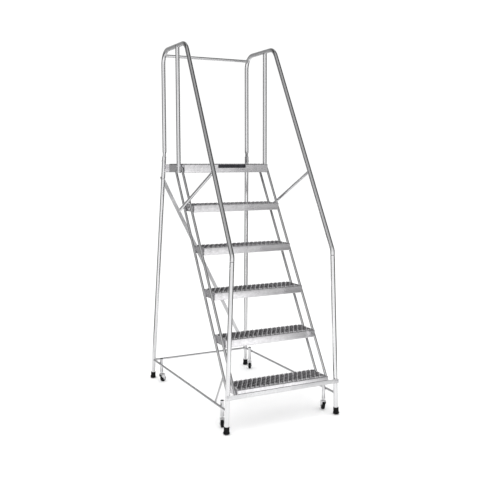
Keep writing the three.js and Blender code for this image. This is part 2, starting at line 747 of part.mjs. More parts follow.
function boltThrough(name, head, direction, length) {
  const bolt = add(name, makeBolt(length), ZINC);
  bolt.position.copy(head);
  bolt.quaternion.setFromUnitVectors(at(0, 0, 1), direction.clone().normalize());
}

function addSide(side, lines, diagonal, frontBarBolt) {
  const name = side < 0 ? 'left' : 'right';
  add(`${name}_handrail`, makeHandrail(lines), POLISHED_TUBE);
  const frontHole = boltHole(frontBarBolt, at(frontBarBolt.x, REAR, frontBarBolt.z));
  const frontLeg = makeLeg(lines.frontFoot, lines.frontSeam, SPIGOT.frontCone);
  add(`${name}_front_leg`, cut(frontLeg, frontHole), POLISHED_TUBE);
  const anchor = side < 0 ? diagonal.high : diagonal.low;
  const rearHole = boltHole(
    anchor.clone().addScaledVector(diagonal.outward, 3 * RAIL_TUBE.radius),
    anchor,
    6 * RAIL_TUBE.radius,
  );
  add(`${name}_rear_leg`, cut(makeLeg(lines.rearFoot, lines.rearSeam, 0), rearHole), POLISHED_TUBE);
  add(`${name}_mid_post`, makeMidPost(lines, side), POLISHED_TUBE);
  add(`${name}_base_rail`, makeSideRail(lines), SATIN_BAR);
  const frontStringer = makeStringer(
    lines.frontStringerAt(STRINGER_FEET),
    lines.frontStringerAt(PLATFORM_TOP - STRINGER_DROP.front),
  );
  const rearStringer = makeStringer(
    lines.rearStringerAt(STRINGER_FEET + REAR_STRINGER_RAISE),
    lines.rearStringerAt(PLATFORM_TOP - STRINGER_DROP.rear),
  );
  add(`${name}_front_stringer`, frontStringer, POLISHED_TUBE);
  add(`${name}_rear_stringer`, rearStringer, POLISHED_TUBE);
  add(`${name}_base_strut`, makeStrut(lines, side), SATIN_BAR);
  add(`${name}_handrail_brace`, makeHandrailBrace(lines, side), POLISHED_TUBE);
  add(`${name}_front_tip`, makeTip(lines.frontFoot, lines.frontSeam), RUBBER);
  add(`${name}_rear_tip`, makeTip(lines.rearFoot, lines.rearSeam), RUBBER);
}

const diagonal = makeDiagonal(LEFT, RIGHT);
const barMiddle = FRONT_BAR_BOTTOM + FRONT_BAR.height / 2;
const barFace = FRONT - RAIL_TUBE.radius - FIT - FRONT_BAR.thickness - FIT;
const frontBolts = [LEFT, RIGHT].map((lines) => at(lines.frontLegAt(barMiddle).x, barFace, barMiddle));
const frontHoles = frontBolts.map((head) => boltHole(head, at(head.x, REAR, head.z)));

addSide(-1, LEFT, diagonal, frontBolts[0]);
addSide(1, RIGHT, diagonal, frontBolts[1]);
add('rear_guard_rail', makeGuardRail(LEFT, RIGHT), POLISHED_TUBE);
add('rear_cross_bar', makeRearCrossBar(LEFT, RIGHT), SATIN_BAR);
add('front_cross_bar', cut(makeFrontCrossBar(RIGHT), ...frontHoles), SATIN_BAR);

const rearBolts = [diagonal.high, diagonal.low].map((point) =>
  point.clone().addScaledVector(diagonal.outward, BEHIND_LEG),
);
const rearHoles = rearBolts.map((head, i) => boltHole(head, [diagonal.high, diagonal.low][i]));
add('rear_diagonal_brace', cut(diagonal.solid, ...rearHoles), SATIN_BAR);

boltThrough('left_front_bar_bolt', frontBolts[0], at(0, 1, 0), BOLT_LENGTH);
boltThrough('right_front_bar_bolt', frontBolts[1], at(0, 1, 0), BOLT_LENGTH);
const inward = diagonal.outward.clone().negate();
boltThrough('left_diagonal_bolt', rearBolts[0], inward, BOLT_LENGTH);
boltThrough('right_diagonal_bolt', rearBolts[1], inward, BOLT_LENGTH);

for (let step = 1; step < STEP_COUNT; step += 1) {
  const tread = add(`tread_${step}`, makePlank(TREAD_DEPTH, TREAD_LIP), SATIN_TREAD);
  tread.position.set(0, treadFront(step), step * RISE);
}
const platform = add('platform', makePlatform(LEFT, RIGHT), SATIN_TREAD);
platform.position.set(0, PLATFORM_FRONT, PLATFORM_TOP);

for (const [side, lines] of [[-1, LEFT], [1, RIGHT]]) {
  const name = side < 0 ? 'left' : 'right';
  const offset = BASE_TUBE.radius + FIT + HOUSING.radius;
  const front = lines.frontLegAt(BASE_RAIL_HEIGHT);
  const rear = lines.rearLegAt(BASE_RAIL_HEIGHT);
  for (const [end, y] of [['front', FRONT + CASTER_SETBACK], ['rear', REAR - CASTER_SETBACK_REAR]]) {
    const rail = along(front, rear, (y - front.y) / (rear.y - front.y));
    addCaster(`${end}_${name}`, rail.x - side * offset, y);
  }
}

export default ladder;
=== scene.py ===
"""Mobile ladder stand: tubular frame, grip-strut steps, guard rails and spring casters.

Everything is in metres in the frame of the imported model: Z up, +Y the way the climber faces.
"""

import math
from types import SimpleNamespace

import bmesh
import bpy
from bpy.props import (
    FloatProperty,
    FloatVectorProperty,
    IntProperty,
    PointerProperty,
)
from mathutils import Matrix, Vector
from mathutils.geometry import delaunay_2d_cdt


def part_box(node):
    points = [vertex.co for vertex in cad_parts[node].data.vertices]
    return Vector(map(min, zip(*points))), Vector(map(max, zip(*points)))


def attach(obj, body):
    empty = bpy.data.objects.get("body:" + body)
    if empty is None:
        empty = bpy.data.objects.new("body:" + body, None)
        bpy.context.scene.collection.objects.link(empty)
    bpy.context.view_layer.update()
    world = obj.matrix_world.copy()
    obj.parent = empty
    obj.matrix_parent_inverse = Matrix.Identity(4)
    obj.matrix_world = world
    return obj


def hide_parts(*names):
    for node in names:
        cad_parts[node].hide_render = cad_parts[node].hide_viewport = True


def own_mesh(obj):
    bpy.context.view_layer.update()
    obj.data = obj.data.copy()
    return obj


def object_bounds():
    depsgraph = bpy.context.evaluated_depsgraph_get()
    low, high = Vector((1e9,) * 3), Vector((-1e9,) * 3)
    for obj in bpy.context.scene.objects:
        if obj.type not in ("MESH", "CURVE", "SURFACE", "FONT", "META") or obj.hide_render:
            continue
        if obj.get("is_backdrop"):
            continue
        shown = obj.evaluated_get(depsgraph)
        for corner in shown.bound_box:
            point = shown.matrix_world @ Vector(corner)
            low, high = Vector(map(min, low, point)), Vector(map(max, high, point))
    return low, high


bl_info = {
    "name": "Mobile ladder stand",
    "version": (1, 0, 0),
    "blender": (4, 5, 0),
    "location": "View3D > Sidebar > Ladder stand",
    "description": "Builds a rolling ladder stand from its sizes",
    "category": "Add Mesh",
}

SIDES = {"left": -1, "right": 1}
ENDS = ("front", "rear")
GRAIN = "grain"  # a point's place along and around its piece, for drawn and brushed marks
TOUCH = 0.0003  # air between pieces that touch
SINK = 0.0008  # how far a bead or a washer reaches into what it sits on

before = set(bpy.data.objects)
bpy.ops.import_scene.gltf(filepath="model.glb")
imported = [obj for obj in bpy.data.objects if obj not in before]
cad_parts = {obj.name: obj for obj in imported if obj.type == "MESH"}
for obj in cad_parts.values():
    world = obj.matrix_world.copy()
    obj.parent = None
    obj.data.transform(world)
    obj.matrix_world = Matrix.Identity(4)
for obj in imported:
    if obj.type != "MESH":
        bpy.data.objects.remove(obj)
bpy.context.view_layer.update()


# ---------------------------------------------------------------- sizes and colours
def length(name, description, default):
    return FloatProperty(
        name=name, description=description, default=default, unit="LENGTH", precision=4
    )


def colour(name, description, default):
    return FloatVectorProperty(
        name=name, description=description, default=default, subtype="COLOR", size=3, min=0, max=1
    )


def middle(node):
    low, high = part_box(node)
    return (low + high) / 2


def extent(node):
    low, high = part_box(node)
    return high - low


class TubeSizes(bpy.types.PropertyGroup):
    rail_radius: length("Rail radius", "Outer radius of legs, handrails and posts", 0.0135)
    rail_wall: length("Rail wall", "Wall of legs, handrails and posts", 0.002)
    stringer_radius: length("Stringer radius", "Outer radius of the stringers", 0.008)
    brace_radius: length("Brace radius", "Outer radius of the handrail braces and guard rail", 0.0095)
    base_radius: length("Base radius", "Outer radius of the base rails and rear cross bar", 0.007)
    strut_radius: length("Strut radius", "Radius of the rods under the stair", 0.0055)
    light_wall: length("Light wall", "Wall of the smaller tubes", 0.0015)
    tip_half: length("Half foot width", "Half the distance between the rubber tips", 0.371)
    base_depth: length("Base depth", "Front tips to rear tips", 1.227)
    waist_half: length("Half waist width", "Half the distance between the handrail bends", 0.3307)
    waist_height: length("Waist height", "Height of the bend above the front leg", 1.014)
    hand_half: length("Half rail width", "Half the distance between the guard rails", 0.313)
    handrail_run: length("Handrail run", "Front leg to the front corner of the top rail", 0.688)
    upright_setback: length("Upright setback", "Front leg to the rear upright", 1.086)
    front_seam: length("Front seam", "Height of the joint in the front leg", 0.985)
    rear_shoulder: length("Rear shoulder", "Lower end of the rear upright's full diameter", 1.605)
    rear_seam: length("Rear seam", "Height of the rear leg's upper end", 1.572)
    swage: length("Swage depth", "How much smaller the reduced tube end is in radius", 0.0029)
    top_bend: length("Top bend", "Bend radius of the top rail", 0.090)
    waist_bend: length("Waist bend", "Bend radius above the front leg", 0.048)
    post_foot: length("Post foot", "Height of the mid post's lower end", 1.464)
    stringer_lead: length("Stringer lead", "Front stringer at the floor, from the front leg", -0.120)
    stringer_spacing: length("Stringer spacing", "Front to rear stringer, measured level", 0.113)
    strut_height: length("Strut height", "Where the strut leaves the rear stringer", 0.283)
    sides: IntProperty(name="Sides", description="Faces around a tube", default=28, min=8)


class BarSizes(bpy.types.PropertyGroup):
    diagonal_high: length("Diagonal high end", "Height of the diagonal's bolt in the left leg", 1.424)
    diagonal_low: length("Diagonal low end", "Height of the diagonal's bolt in the right leg", 0.146)
    diagonal_width: length("Diagonal width", "Width of the diagonal flat bar", 0.025)
    diagonal_sheet: length("Diagonal thickness", "Thickness of the diagonal flat bar", 0.004)
    diagonal_past: length("Diagonal past bolts", "How far the diagonal runs past its bolts", 0.014)
    angle_sheet: length("Angle sheet", "Thickness of the folded front bar", 0.0025)
    angle_bend: length("Angle bend", "Outer bend radius of the folded front bar", 0.0045)
    angle_tab: length("Angle tab", "Length of the flat tab at each end of the front bar", 0.0315)
    brace_top: length("Brace top", "Where a brace meets the handrail", 1.478)
    stair_bead_top: length("Stair bead top", "Upper end of the beads on the platform's sides", 1.478)


class FastenerSizes(bpy.types.PropertyGroup):
    head_radius: length("Head radius", "Corner radius of the hexagon heads and nuts", 0.0062)
    head_height: length("Head height", "Height of the hexagon heads", 0.0021)
    shank: length("Shank", "Radius of the frame bolts", 0.0035)
    screw_radius: length("Screw radius", "Radius of the button heads on the tubes", 0.0052)
    brace_screw_radius: length("Brace screw radius", "Radius of the button heads on the braces", 0.0050)
    tube_bead: length("Tube bead", "Radius of the weld beads around the tubes", 0.0021)
    post_bead: length("Post bead", "Radius of the weld beads under the top rails", 0.0018)
    rod_bead: length("Rod bead", "Radius of the weld beads around the rods", 0.0016)
    caster_bead: length("Caster bead", "Radius of the weld beads on the caster housings", 0.0017)
    stair_bead: length("Stair bead", "Radius of the weld beads along the steps", 0.0015)


class PlankSizes(bpy.types.PropertyGroup):
    sheet: length("Sheet", "Thickness of the folded sheet", 0.0022)
    fold: length("Fold radius", "Outer bend radius of the folded lips", 0.0035)
    sink: length("Deck sink", "How far the sheet lies below the tops of the teeth", 0.0045)
    lip_return: length("Lip return", "Width of the folded-back lower edge", 0.012)
    pitch: length("Column pitch", "Distance between straight columns of openings", 0.031)
    row: length("Row pitch", "Distance between straight rows of openings", 0.052)
    margin: length("Margin", "Least distance from an edge to the first opening's cell", 0.007)
    half_width: length("Opening half width", "Half the width of a diamond opening", 0.0108)
    half_length: length("Opening half length", "Half the length of a diamond opening", 0.0208)
    strand: length("Strand depth", "How deep the metal around an opening is drawn down", 0.010)
    tooth: length("Tooth", "Height of a tooth above its notch", 0.0020)
    steps: IntProperty(
        name="Steps", description="Points on each side of an opening, two to a tooth", default=6
    )


class CasterSizes(bpy.types.PropertyGroup):
    stem_radius: length("Stem radius", "Radius of the swivel stem", 0.0055)
    fork_top: length("Fork top", "Height of the fork's crown", 0.056)
    fork_plate: length("Fork sheet", "Thickness of the pressed fork", 0.0025)
    fork_bend: length("Fork bend", "Bend radius between crown and cheeks", 0.005)
    fork_front: length("Fork front", "Crown's reach ahead of the stem", 0.013)
    fork_back: length("Fork back", "Crown's reach behind the stem", 0.021)
    fork_eye: length("Fork eye", "Radius of the metal around the axle", 0.008)
    race_radius: length("Race radius", "Radius of the ball race", 0.0145)
    axle_radius: length("Axle radius", "Radius of the wheel's axle", 0.003)
    fork_half: length("Fork half width", "Half the fork's width outside", 0.0135)
    axle_half: length("Axle half length", "Half the axle's length between its heads", 0.0138)
    wheel_half: length("Wheel half width", "Half the width of the wheel", 0.0095)
    housing_wall: length("Housing wall", "Wall of the spring housing", 0.002)
    spring_travel: length("Spring travel", "How far the spring can be pressed in", 0.008)
    spring_wire: length("Spring wire", "Radius of the spring wire", 0.0011)
    spring_turns: IntProperty(name="Spring turns", description="Turns of the caster spring", default=9)


class FinishColours(bpy.types.PropertyGroup):
    tube: colour("Tube", "Bright polished tube", (0.76, 0.76, 0.77))
    bar: colour("Bar", "Satin bar and small tube", (0.72, 0.72, 0.73))
    tread: colour("Tread", "Satin tread sheet", (0.88, 0.87, 0.89))
    zinc: colour("Zinc", "Zinc-plated fittings", (0.84, 0.84, 0.85))
    weld: colour("Weld", "Brushed weld beads", (0.72, 0.72, 0.73))
    # The cut sheet colour is painted shade: the walls of the tread openings are made near black for the
    # shade inside the openings. Only their greater roughness belongs to the cut edge itself.
    cut: colour("Cut sheet", "Walls of the tread openings, darkened as painted shade", (0.16, 0.155, 0.165))
    spring: colour("Spring", "Oiled spring wire", (0.30, 0.30, 0.31))
    rubber: colour("Rubber", "Moulded rubber tips", (0.004, 0.004, 0.0045))
    wheel: colour("Wheel", "Moulded wheels", (0.006, 0.006, 0.0065))
    label: colour("Label", "Blank label plate", (0.02, 0.02, 0.024))
    floor: colour("Floor", "Studio floor", (0.93, 0.93, 0.93))


class StageSettings(bpy.types.PropertyGroup):
    place: FloatVectorProperty(
        name="Camera place",
        description="Where the camera stands",
        default=(-2.0481, -4.1658, 1.5215),
        size=3,
        subtype="TRANSLATION",
    )
    turn: FloatVectorProperty(
        name="Camera turn",
        description="How the camera is turned",
        default=(math.radians(83.77), math.radians(0.116), math.radians(-26.646)),
        size=3,
        subtype="EULER",
    )
    lens: FloatProperty(name="Lens", description="Focal length in millimetres", default=53.39)
    key_power: FloatProperty(name="Key power", description="Power of the overhead panel", default=55)
    surround: FloatProperty(name="Surround", description="Brightness behind the stand", default=1.05)
    fill: FloatProperty(name="Fill", description="Extra light for dull surfaces", default=0.2)


# ---------------------------------------------------------------- mesh building
def new_mesh():
    shape = bmesh.new()
    shape.verts.layers.float_vector.new(GRAIN)
    return shape


def vert(shape, place, grain=None):
    made = shape.verts.new(place)
    made[shape.verts.layers.float_vector[GRAIN]] = Vector(place) if grain is None else Vector(grain)
    return made


def band(shape, first, second, material=0):
    """Quads between two closed loops of as many points."""
    count = len(first)
    for i in range(count):
        j = (i + 1) % count
        shape.faces.new((first[i], first[j], second[j], second[i])).material_index = material


def across(direction):
    """Two unit vectors square to a direction and to each other."""
    aside = Vector((1, 0, 0)) if abs(direction.x) < 0.9 else Vector((0, 1, 0))
    u = (aside - direction * aside.dot(direction)).normalized()
    return u, direction.cross(u)


def ring(shape, centre, u, v, radius, sides, run):
    loop = []
    for i in range(sides):
        angle = math.tau * i / sides
        c, s = math.cos(angle) * radius, math.sin(angle) * radius
        loop.append(vert(shape, centre + u * c + v * s, (run, c, s)))
    return loop


def rounded(corners, radius, steps=10):
    """The corners of a line, with an arc in place of each inner corner."""
    places = [corners[0]]
    for before, here, after in zip(corners, corners[1:], corners[2:]):
        back, ahead = (before - here).normalized(), (after - here).normalized()
        half = back.angle(ahead) / 2
        reach = radius / math.tan(half)
        centre = here + (back + ahead).normalized() * (radius / math.sin(half))
        first, last = here + back * reach - centre, here + ahead * reach - centre
        turn = first.angle(last)
        for k in range(steps + 1):
            angle = turn * k / steps
            places.append(
                centre + first * (math.sin(turn - angle) / math.sin(turn))
                + last * (math.sin(angle) / math.sin(turn))
            )
    places.append(corners[-1])
    return places


def sweep(shape, places, radii, sides, mouth=0.0):
    """A round tube along the places; a mouth is the wall that shows at its open ends."""
    if isinstance(radii, float):
        radii = [radii] * len(places)
    last = len(places) - 1
    tangents = [
        (places[min(i + 1, last)] - places[max(i - 1, 0)]).normalized() for i in range(last + 1)
    ]
    u, _ = across(tangents[0])
    run, loops = 0.0, []
    for i, (place, tangent) in enumerate(zip(places, tangents)):
        u = (u - tangent * u.dot(tangent)).normalized()
        if i:
            run += (place - places[i - 1]).length
        loops.append(ring(shape, place, u, tangent.cross(u), radii[i], sides, run))
        if mouth and i in (0, last):
            inward = tangent if i == 0 else -tangent
            frame_at = (u, tangent.cross(u), radii[i] - mouth, sides, run)
            edge = ring(shape, place, *frame_at)
            deep = ring(shape, place + inward * 3 * radii[i], *frame_at)
            band(shape, loops[-1], edge)
            band(shape, edge, deep)
            shape.faces.new(deep)
    for first, second in zip(loops, loops[1:]):
        band(shape, first, second)
    if not mouth:
        shape.faces.new(loops[0])
        shape.faces.new(loops[-1])


def lathe(shape, profile, origin, axis, sides, ribs=0, rib=0.0):
    """A turned piece: the profile is (radius, height) pairs along the axis, from pole to pole."""
    axis = axis.normalized()
    u, v = across(axis)
    loops = []
    for radius, height in profile:
        centre = origin + axis * height
        if radius <= 0:
            loops.append([vert(shape, centre, (height, 0, 0))])
            continue
        loop = []
        for i in range(sides):
            angle = math.tau * i / sides
            at = radius + (rib * math.cos(ribs * angle) if ribs else 0.0)
            c, s = math.cos(angle) * at, math.sin(angle) * at
            loop.append(vert(shape, centre + u * c + v * s, (height, c, s)))
        loops.append(loop)
    for first, second in zip(loops, loops[1:]):
        if len(first) == 1 and len(second) == 1:
            continue
        if len(first) == 1 or len(second) == 1:
            pole, rim = (first, second) if len(first) == 1 else (second, first)
            for i in range(sides):
                shape.faces.new((pole[0], rim[i], rim[(i + 1) % sides]))
        else:
            band(shape, first, second)
    for end in (loops[0], loops[-1]):
        if len(end) > 1 and profile[0] != profile[-1]:
            shape.faces.new(end)


def prism(shape, outline, place, u, v, w, depth):
    """An outline of (u, v) points, extruded along w."""
    loops = []
    for far in (0, depth):
        loops.append([vert(shape, place + u * a + v * b + w * far, (far, a, b)) for a, b in outline])
    band(shape, *loops)
    for loop in loops:
        shape.faces.new(loop)


def round_rectangle(width, height, radius, steps=4):
    """The outline of a rectangle around the origin with rounded corners."""
    points = []
    for k, (sx, sy) in enumerate(((1, 1), (-1, 1), (-1, -1), (1, -1))):
        cx, cy = sx * (width / 2 - radius), sy * (height / 2 - radius)
        for i in range(steps + 1):
            angle = math.pi / 2 * (k + i / steps)
            points.append((cx + radius * math.cos(angle), cy + radius * math.sin(angle)))
    return points


def solid_box(shape, low, high, edge=0.0006):
    """A box with its edges broken."""
    made = bmesh.ops.create_cube(shape, size=1.0)["verts"]
    low, high = Vector(low), Vector(high)
    for point in made:
        point.co = Vector(
            (low[k] + (high[k] - low[k]) * (point.co[k] + 0.5)) for k in range(3)
        )
    edges = list({e for point in made for e in point.link_edges})
    bevelled = bmesh.ops.bevel(shape, geom=edges, offset=edge, segments=2, affect="EDGES", profile=0.5)
    layer = shape.verts.layers.float_vector[GRAIN]
    for point in bevelled["verts"]:
        point[layer] = point.co


def bead(shape, places, radius, closed, beat=0.0045, sides=8):
    """A weld bead along the places, with the ripples of its puddles."""
    count = len(places)
    loops, run = [], 0.0
    previous = places[0]
    for i, place in enumerate(places):
        if closed:
            tangent = (places[(i + 1) % count] - places[i - 1]).normalized()
        else:
            tangent = (places[min(i + 1, count - 1)] - places[max(i - 1, 0)]).normalized()
        run += (place - previous).length
        previous = place
        size = radius * (0.9 + 0.13 * math.sin(math.tau * run / beat))
        if not closed and i in (0, count - 1):
            size *= 0.55
        u, v = across(tangent)
        loops.append(ring(shape, place, u, v, size, sides, run))
    for first, second in zip(loops, loops[1:]):
        band(shape, first, second)
    if closed:
        band(shape, loops[-1], loops[0])
    else:
        shape.faces.new(loops[0])
        shape.faces.new(loops[-1])


def joint_bead(shape, start, towards, radius, main, main_radius, size):
    """The bead where a tube that starts at a place runs into the side of a main tube.

    The main tube is given by two places on its centre line.
    """
    along = (towards - start).normalized()
    main_start, main_end = main
    main = (main_end - main_start).normalized()
    u, v = across(along)
    count = 40
    places = []
    for i in range(count):
        angle = math.tau * i / count
        base = start + (u * math.cos(angle) + v * math.sin(angle)) * (radius + size * 0.2)
        off = base - main_start
        off -= main * off.dot(main)
        step = along - main * along.dot(main)
        a, b = step.dot(step), 2 * off.dot(step)
        c = off.dot(off) - (main_radius + size * 0.2) ** 2
        root = math.sqrt(max(b * b - 4 * a * c, 0.0))
        places.append(base + along * ((-b + root) / (2 * a)))
    bead(shape, places, size, closed=True)


def line_bead(shape, start, end, radius):
    step = 0.0011
    count = max(int((end - start).length / step), 4)
    bead(shape, [start.lerp(end, i / count) for i in range(count + 1)], radius, closed=False)


def hexagon(shape, origin, axis, radius, height):
    """A hexagon head or nut with its corners turned off, standing on its origin."""
    profile = [
        (radius * 0.93, 0.0),
        (radius, height * 0.1),
        (radius, height * 0.8),
        (radius * 0.86, height),
    ]
    lathe(shape, profile, origin, axis, 6)
    lathe(
        shape,
        [(radius * 0.6, height - 0.0001), (radius * 0.6, height + 0.0003), (0.0, height + 0.0004)],
        origin, axis, 18,
    )


def washer(shape, origin, axis, radius, thickness):
    profile = [
        (radius - 0.0003, 0.0),
        (radius, 0.0003),
        (radius, thickness - 0.0003),
        (radius - 0.0003, thickness),
    ]
    lathe(shape, profile, origin, axis, 28)


def threaded_end(shape, origin, axis, radius, reach, pitch=0.00125):
    """The end of a bolt past its nut."""
    turns = max(int(reach / pitch) - 1, 1)
    profile = [(radius * 0.86, 0.0)]
    for k in range(turns):
        profile += [(radius, pitch * (k + 0.5)), (radius * 0.86, pitch * (k + 1))]
    profile += [(radius * 0.7, reach), (0.0, reach)]
    lathe(shape, profile, origin, axis, 18)


def through_bolt(shape, head, axis, grip):
    """A bolt from its head, through what it grips, to its washer, nut and threaded end."""
    f = bpy.context.scene.ladder_fasteners
    axis = axis.normalized()
    flat, rim, nut_height = 0.0010, f.head_radius * 1.18, f.head_height + 0.0006
    washer(shape, head - axis * 0.0001, -axis, rim, flat)
    hexagon(shape, head - axis * 0.0009, -axis, f.head_radius, f.head_height)
    far = head + axis * grip
    washer(shape, far, axis, rim, flat)
    hexagon(shape, far + axis * flat, axis, f.head_radius, nut_height)
    threaded_end(shape, far + axis * (nut_height + 0.0006), axis, f.shank, 0.0028)
    lathe(shape, [(f.shank, 0.0), (f.shank, grip)], head, axis, 14)


def piece_from(name, shape, angle=35.0):
    bmesh.ops.remove_doubles(shape, verts=shape.verts, dist=1e-7)
    bmesh.ops.recalc_face_normals(shape, faces=shape.faces)
    mesh = bpy.data.meshes.new(name)
    shape.to_mesh(mesh)
    shape.free()
    mesh.shade_smooth()
    mesh.set_sharp_from_angle(angle=math.radians(angle))
    piece = bpy.data.objects.new(name, mesh)
    bpy.context.scene.collection.objects.link(piece)
    return piece


def place_piece(piece, body, material, nodes=()):
    """Gives a piece its finish, its body and the nodes it stands for, which it has to fit."""
    allowed = 0.009
    if material.name not in piece.data.materials:
        piece.data.materials.append(material)
    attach(piece, body)
    if nodes:
        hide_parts(*nodes)
        lows, highs = zip(*(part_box(node) for node in nodes))
        corners = [piece.matrix_world @ Vector(corner) for corner in piece.bound_box]
        for k in range(3):
            low = min(box[k] for box in lows) - min(corner[k] for corner in corners)
            high = max(corner[k] for corner in corners) - max(box[k] for box in highs)
            if max(abs(low), abs(high)) > allowed:
                gaps = f"{low:.4f} {high:.4f}"
                raise RuntimeError(f"{piece.name} doesn't fit {nodes} along {'XYZ'[k]}: {gaps}")
    return piece


# ---------------------------------------------------------------- finishes
def node(tree, kind, inputs=(), **settings):
    """A shader node with its settings and inputs; an input is a value or another node's output."""
    made = tree.nodes.new(kind)
    for name, value in settings.items():
        setattr(made, name, value)
    for key, value in dict(inputs).items():
        socket = made.inputs[key]
        if isinstance(value, bpy.types.NodeSocket):
            tree.links.new(value, socket)
        else:
            socket.default_value = value
    return made


def maths(tree, operation, *values, clamp=False):
    return node(
        tree, "ShaderNodeMath", enumerate(values), operation=operation, use_clamp=clamp
    ).outputs[0]


def remap(tree, value, low, high, to_low, to_high):
    return node(
        tree,
        "ShaderNodeMapRange",
        {"Value": value, "From Min": low, "From Max": high, "To Min": to_low, "To Max": to_high},
    ).outputs["Result"]


def stretched(tree, vector, scale):
    return node(
        tree, "ShaderNodeVectorMath", {0: vector, 1: scale}, operation="MULTIPLY"
    ).outputs[0]


def noise(tree, vector, scale, detail=2.0, roughness=0.5):
    return node(
        tree,
        "ShaderNodeTexNoise",
        {"Vector": vector, "Scale": scale, "Detail": detail, "Roughness": roughness},
    ).outputs["Fac"]


def tinted(tree, base, factor):
    """A colour made lighter or darker by a factor that changes over the surface."""
    grey = node(tree, "ShaderNodeCombineXYZ", {0: factor, 1: factor, 2: factor}).outputs[0]
    return node(
        tree, "ShaderNodeVectorMath", {0: (*base,), 1: grey}, operation="MULTIPLY"
    ).outputs[0]


def effect(name, inputs, outputs):
    """An empty shader node group with its sockets."""
    tree = bpy.data.node_groups.new(name, "ShaderNodeTree")
    for label, kind, default in inputs:
        socket = tree.interface.new_socket(label, in_out="INPUT", socket_type=kind)
        socket.default_value = default
    for label in outputs:
        tree.interface.new_socket(label, in_out="OUTPUT", socket_type="NodeSocketFloat")
    return tree, tree.nodes.new("NodeGroupInput").outputs, tree.nodes.new("NodeGroupOutput").inputs


def drawn_marks():
    """Fine lines left along a piece by drawing or brushing it."""
    tree, given, out = effect(
        "Drawn marks",
        [("Along", "NodeSocketFloat", 3.0), ("Across", "NodeSocketFloat", 700.0)],
        ["Lines", "Bands"],
    )
    grain = node(tree, "ShaderNodeAttribute", attribute_name=GRAIN).outputs["Vector"]
    sizes = {0: given["Along"], 1: given["Across"], 2: given["Across"]}
    scale = node(tree, "ShaderNodeCombineXYZ", sizes).outputs[0]
    fine = noise(tree, stretched(tree, grain, scale), 1.0, 3.0, 0.6)
    wide = noise(tree, stretched(tree, grain, (1.5, 130.0, 130.0)), 1.0, 1.0)
    tree.links.new(remap(tree, fine, 0.3, 0.7, 0.0, 1.0), out["Lines"])
    tree.links.new(remap(tree, wide, 0.35, 0.65, 0.0, 1.0), out["Bands"])
    return tree


def handling_wear():
    """Smudges, sparse scratches and small pits from use."""
    tree, given, out = effect(
        "Handling wear",
        [("Size", "NodeSocketFloat", 9.0), ("Scratch reach", "NodeSocketFloat", 0.03)],
        ["Smudges", "Scratches", "Pits"],
    )
    place = node(tree, "ShaderNodeTexCoord").outputs["Object"]
    cloud = noise(tree, place, given["Size"], 4.0, 0.55)
    tree.links.new(remap(tree, cloud, 0.42, 0.7, 0.0, 1.0), out["Smudges"])
    turned = node(
        tree, "ShaderNodeVectorRotate", {"Vector": place, "Angle": 0.7, "Axis": (0.4, 0.3, 0.86)}
    ).outputs[0]
    streaks = noise(tree, stretched(tree, turned, (22.0, 260.0, 9.0)), 1.0, 1.0)
    thin = maths(tree, "ABSOLUTE", maths(tree, "SUBTRACT", streaks, 0.5))
    line = maths(tree, "LESS_THAN", thin, maths(tree, "MULTIPLY", given["Scratch reach"], 0.25))
    sparse = remap(tree, noise(tree, place, 17.0, 1.0), 0.55, 0.62, 0.0, 1.0)
    tree.links.new(maths(tree, "MULTIPLY", line, sparse), out["Scratches"])
    pits = node(tree, "ShaderNodeTexVoronoi", {"Vector": place, "Scale": 420.0}).outputs["Distance"]
    tree.links.new(remap(tree, pits, 0.0, 0.28, 1.0, 0.0), out["Pits"])
    return tree


def plating_bloom():
    """The soft mottle of plated or pickled sheet, with a faint crystal pattern."""
    tree, given, out = effect(
        "Plating bloom", [("Size", "NodeSocketFloat", 60.0)], ["Mottle", "Crystals"]
    )
    place = node(tree, "ShaderNodeTexCoord").outputs["Object"]
    cloud = noise(tree, place, given["Size"], 5.0, 0.65)
    tree.links.new(remap(tree, cloud, 0.3, 0.7, 0.0, 1.0), out["Mottle"])
    cells = node(
        tree,
        "ShaderNodeTexVoronoi",
        {"Vector": place, "Scale": maths(tree, "MULTIPLY", given["Size"], 2.2), "Randomness": 1.0},
    )
    shade = node(tree, "ShaderNodeSeparateColor", {0: cells.outputs["Color"]}).outputs[0]
    tree.links.new(shade, out["Crystals"])
    return tree


def settled_dust():
    """Dust that lies on faces that look up, thicker near the floor."""
    tree, given, out = effect("Settled dust", [("Height", "NodeSocketFloat", 0.3)], ["Dust"])
    normal = node(tree, "ShaderNodeTexCoord").outputs["Normal"]
    up = node(tree, "ShaderNodeSeparateXYZ", {0: normal}).outputs[2]
    place = node(tree, "ShaderNodeTexCoord").outputs["Object"]
    high = node(tree, "ShaderNodeSeparateXYZ", {0: place}).outputs[2]
    low_down = maths(tree, "SUBTRACT", 1.0, maths(tree, "DIVIDE", high, given["Height"]), clamp=True)
    lying = remap(tree, up, 0.2, 1.0, 0.0, 1.0)
    patchy = remap(tree, noise(tree, place, 45.0, 4.0), 0.35, 0.7, 0.2, 1.0)
    both = maths(tree, "ADD", lying, maths(tree, "MULTIPLY", low_down, 0.5))
    tree.links.new(maths(tree, "MULTIPLY", both, patchy, clamp=True), out["Dust"])
    return tree


EFFECTS = {}


def use_effect(tree, name, **inputs):
    makers = {
        "drawn_marks": drawn_marks,
        "handling_wear": handling_wear,
        "plating_bloom": plating_bloom,
        "settled_dust": settled_dust,
    }
    if name not in EFFECTS:
        EFFECTS[name] = makers[name]()
    made = tree.nodes.new("ShaderNodeGroup")
    made.node_tree = EFFECTS[name]
    for key, value in inputs.items():
        made.inputs[key.replace("_", " ").capitalize()].default_value = value
    return made.outputs


def surface(name, metallic, specular=0.5):
    material = bpy.data.materials.new(name)
    material.use_nodes = True
    tree = material.node_tree
    shader = tree.nodes["Principled BSDF"]
    shader.inputs["Metallic"].default_value = metallic
    shader.inputs["Specular IOR Level"].default_value = specular
    return material, tree, shader


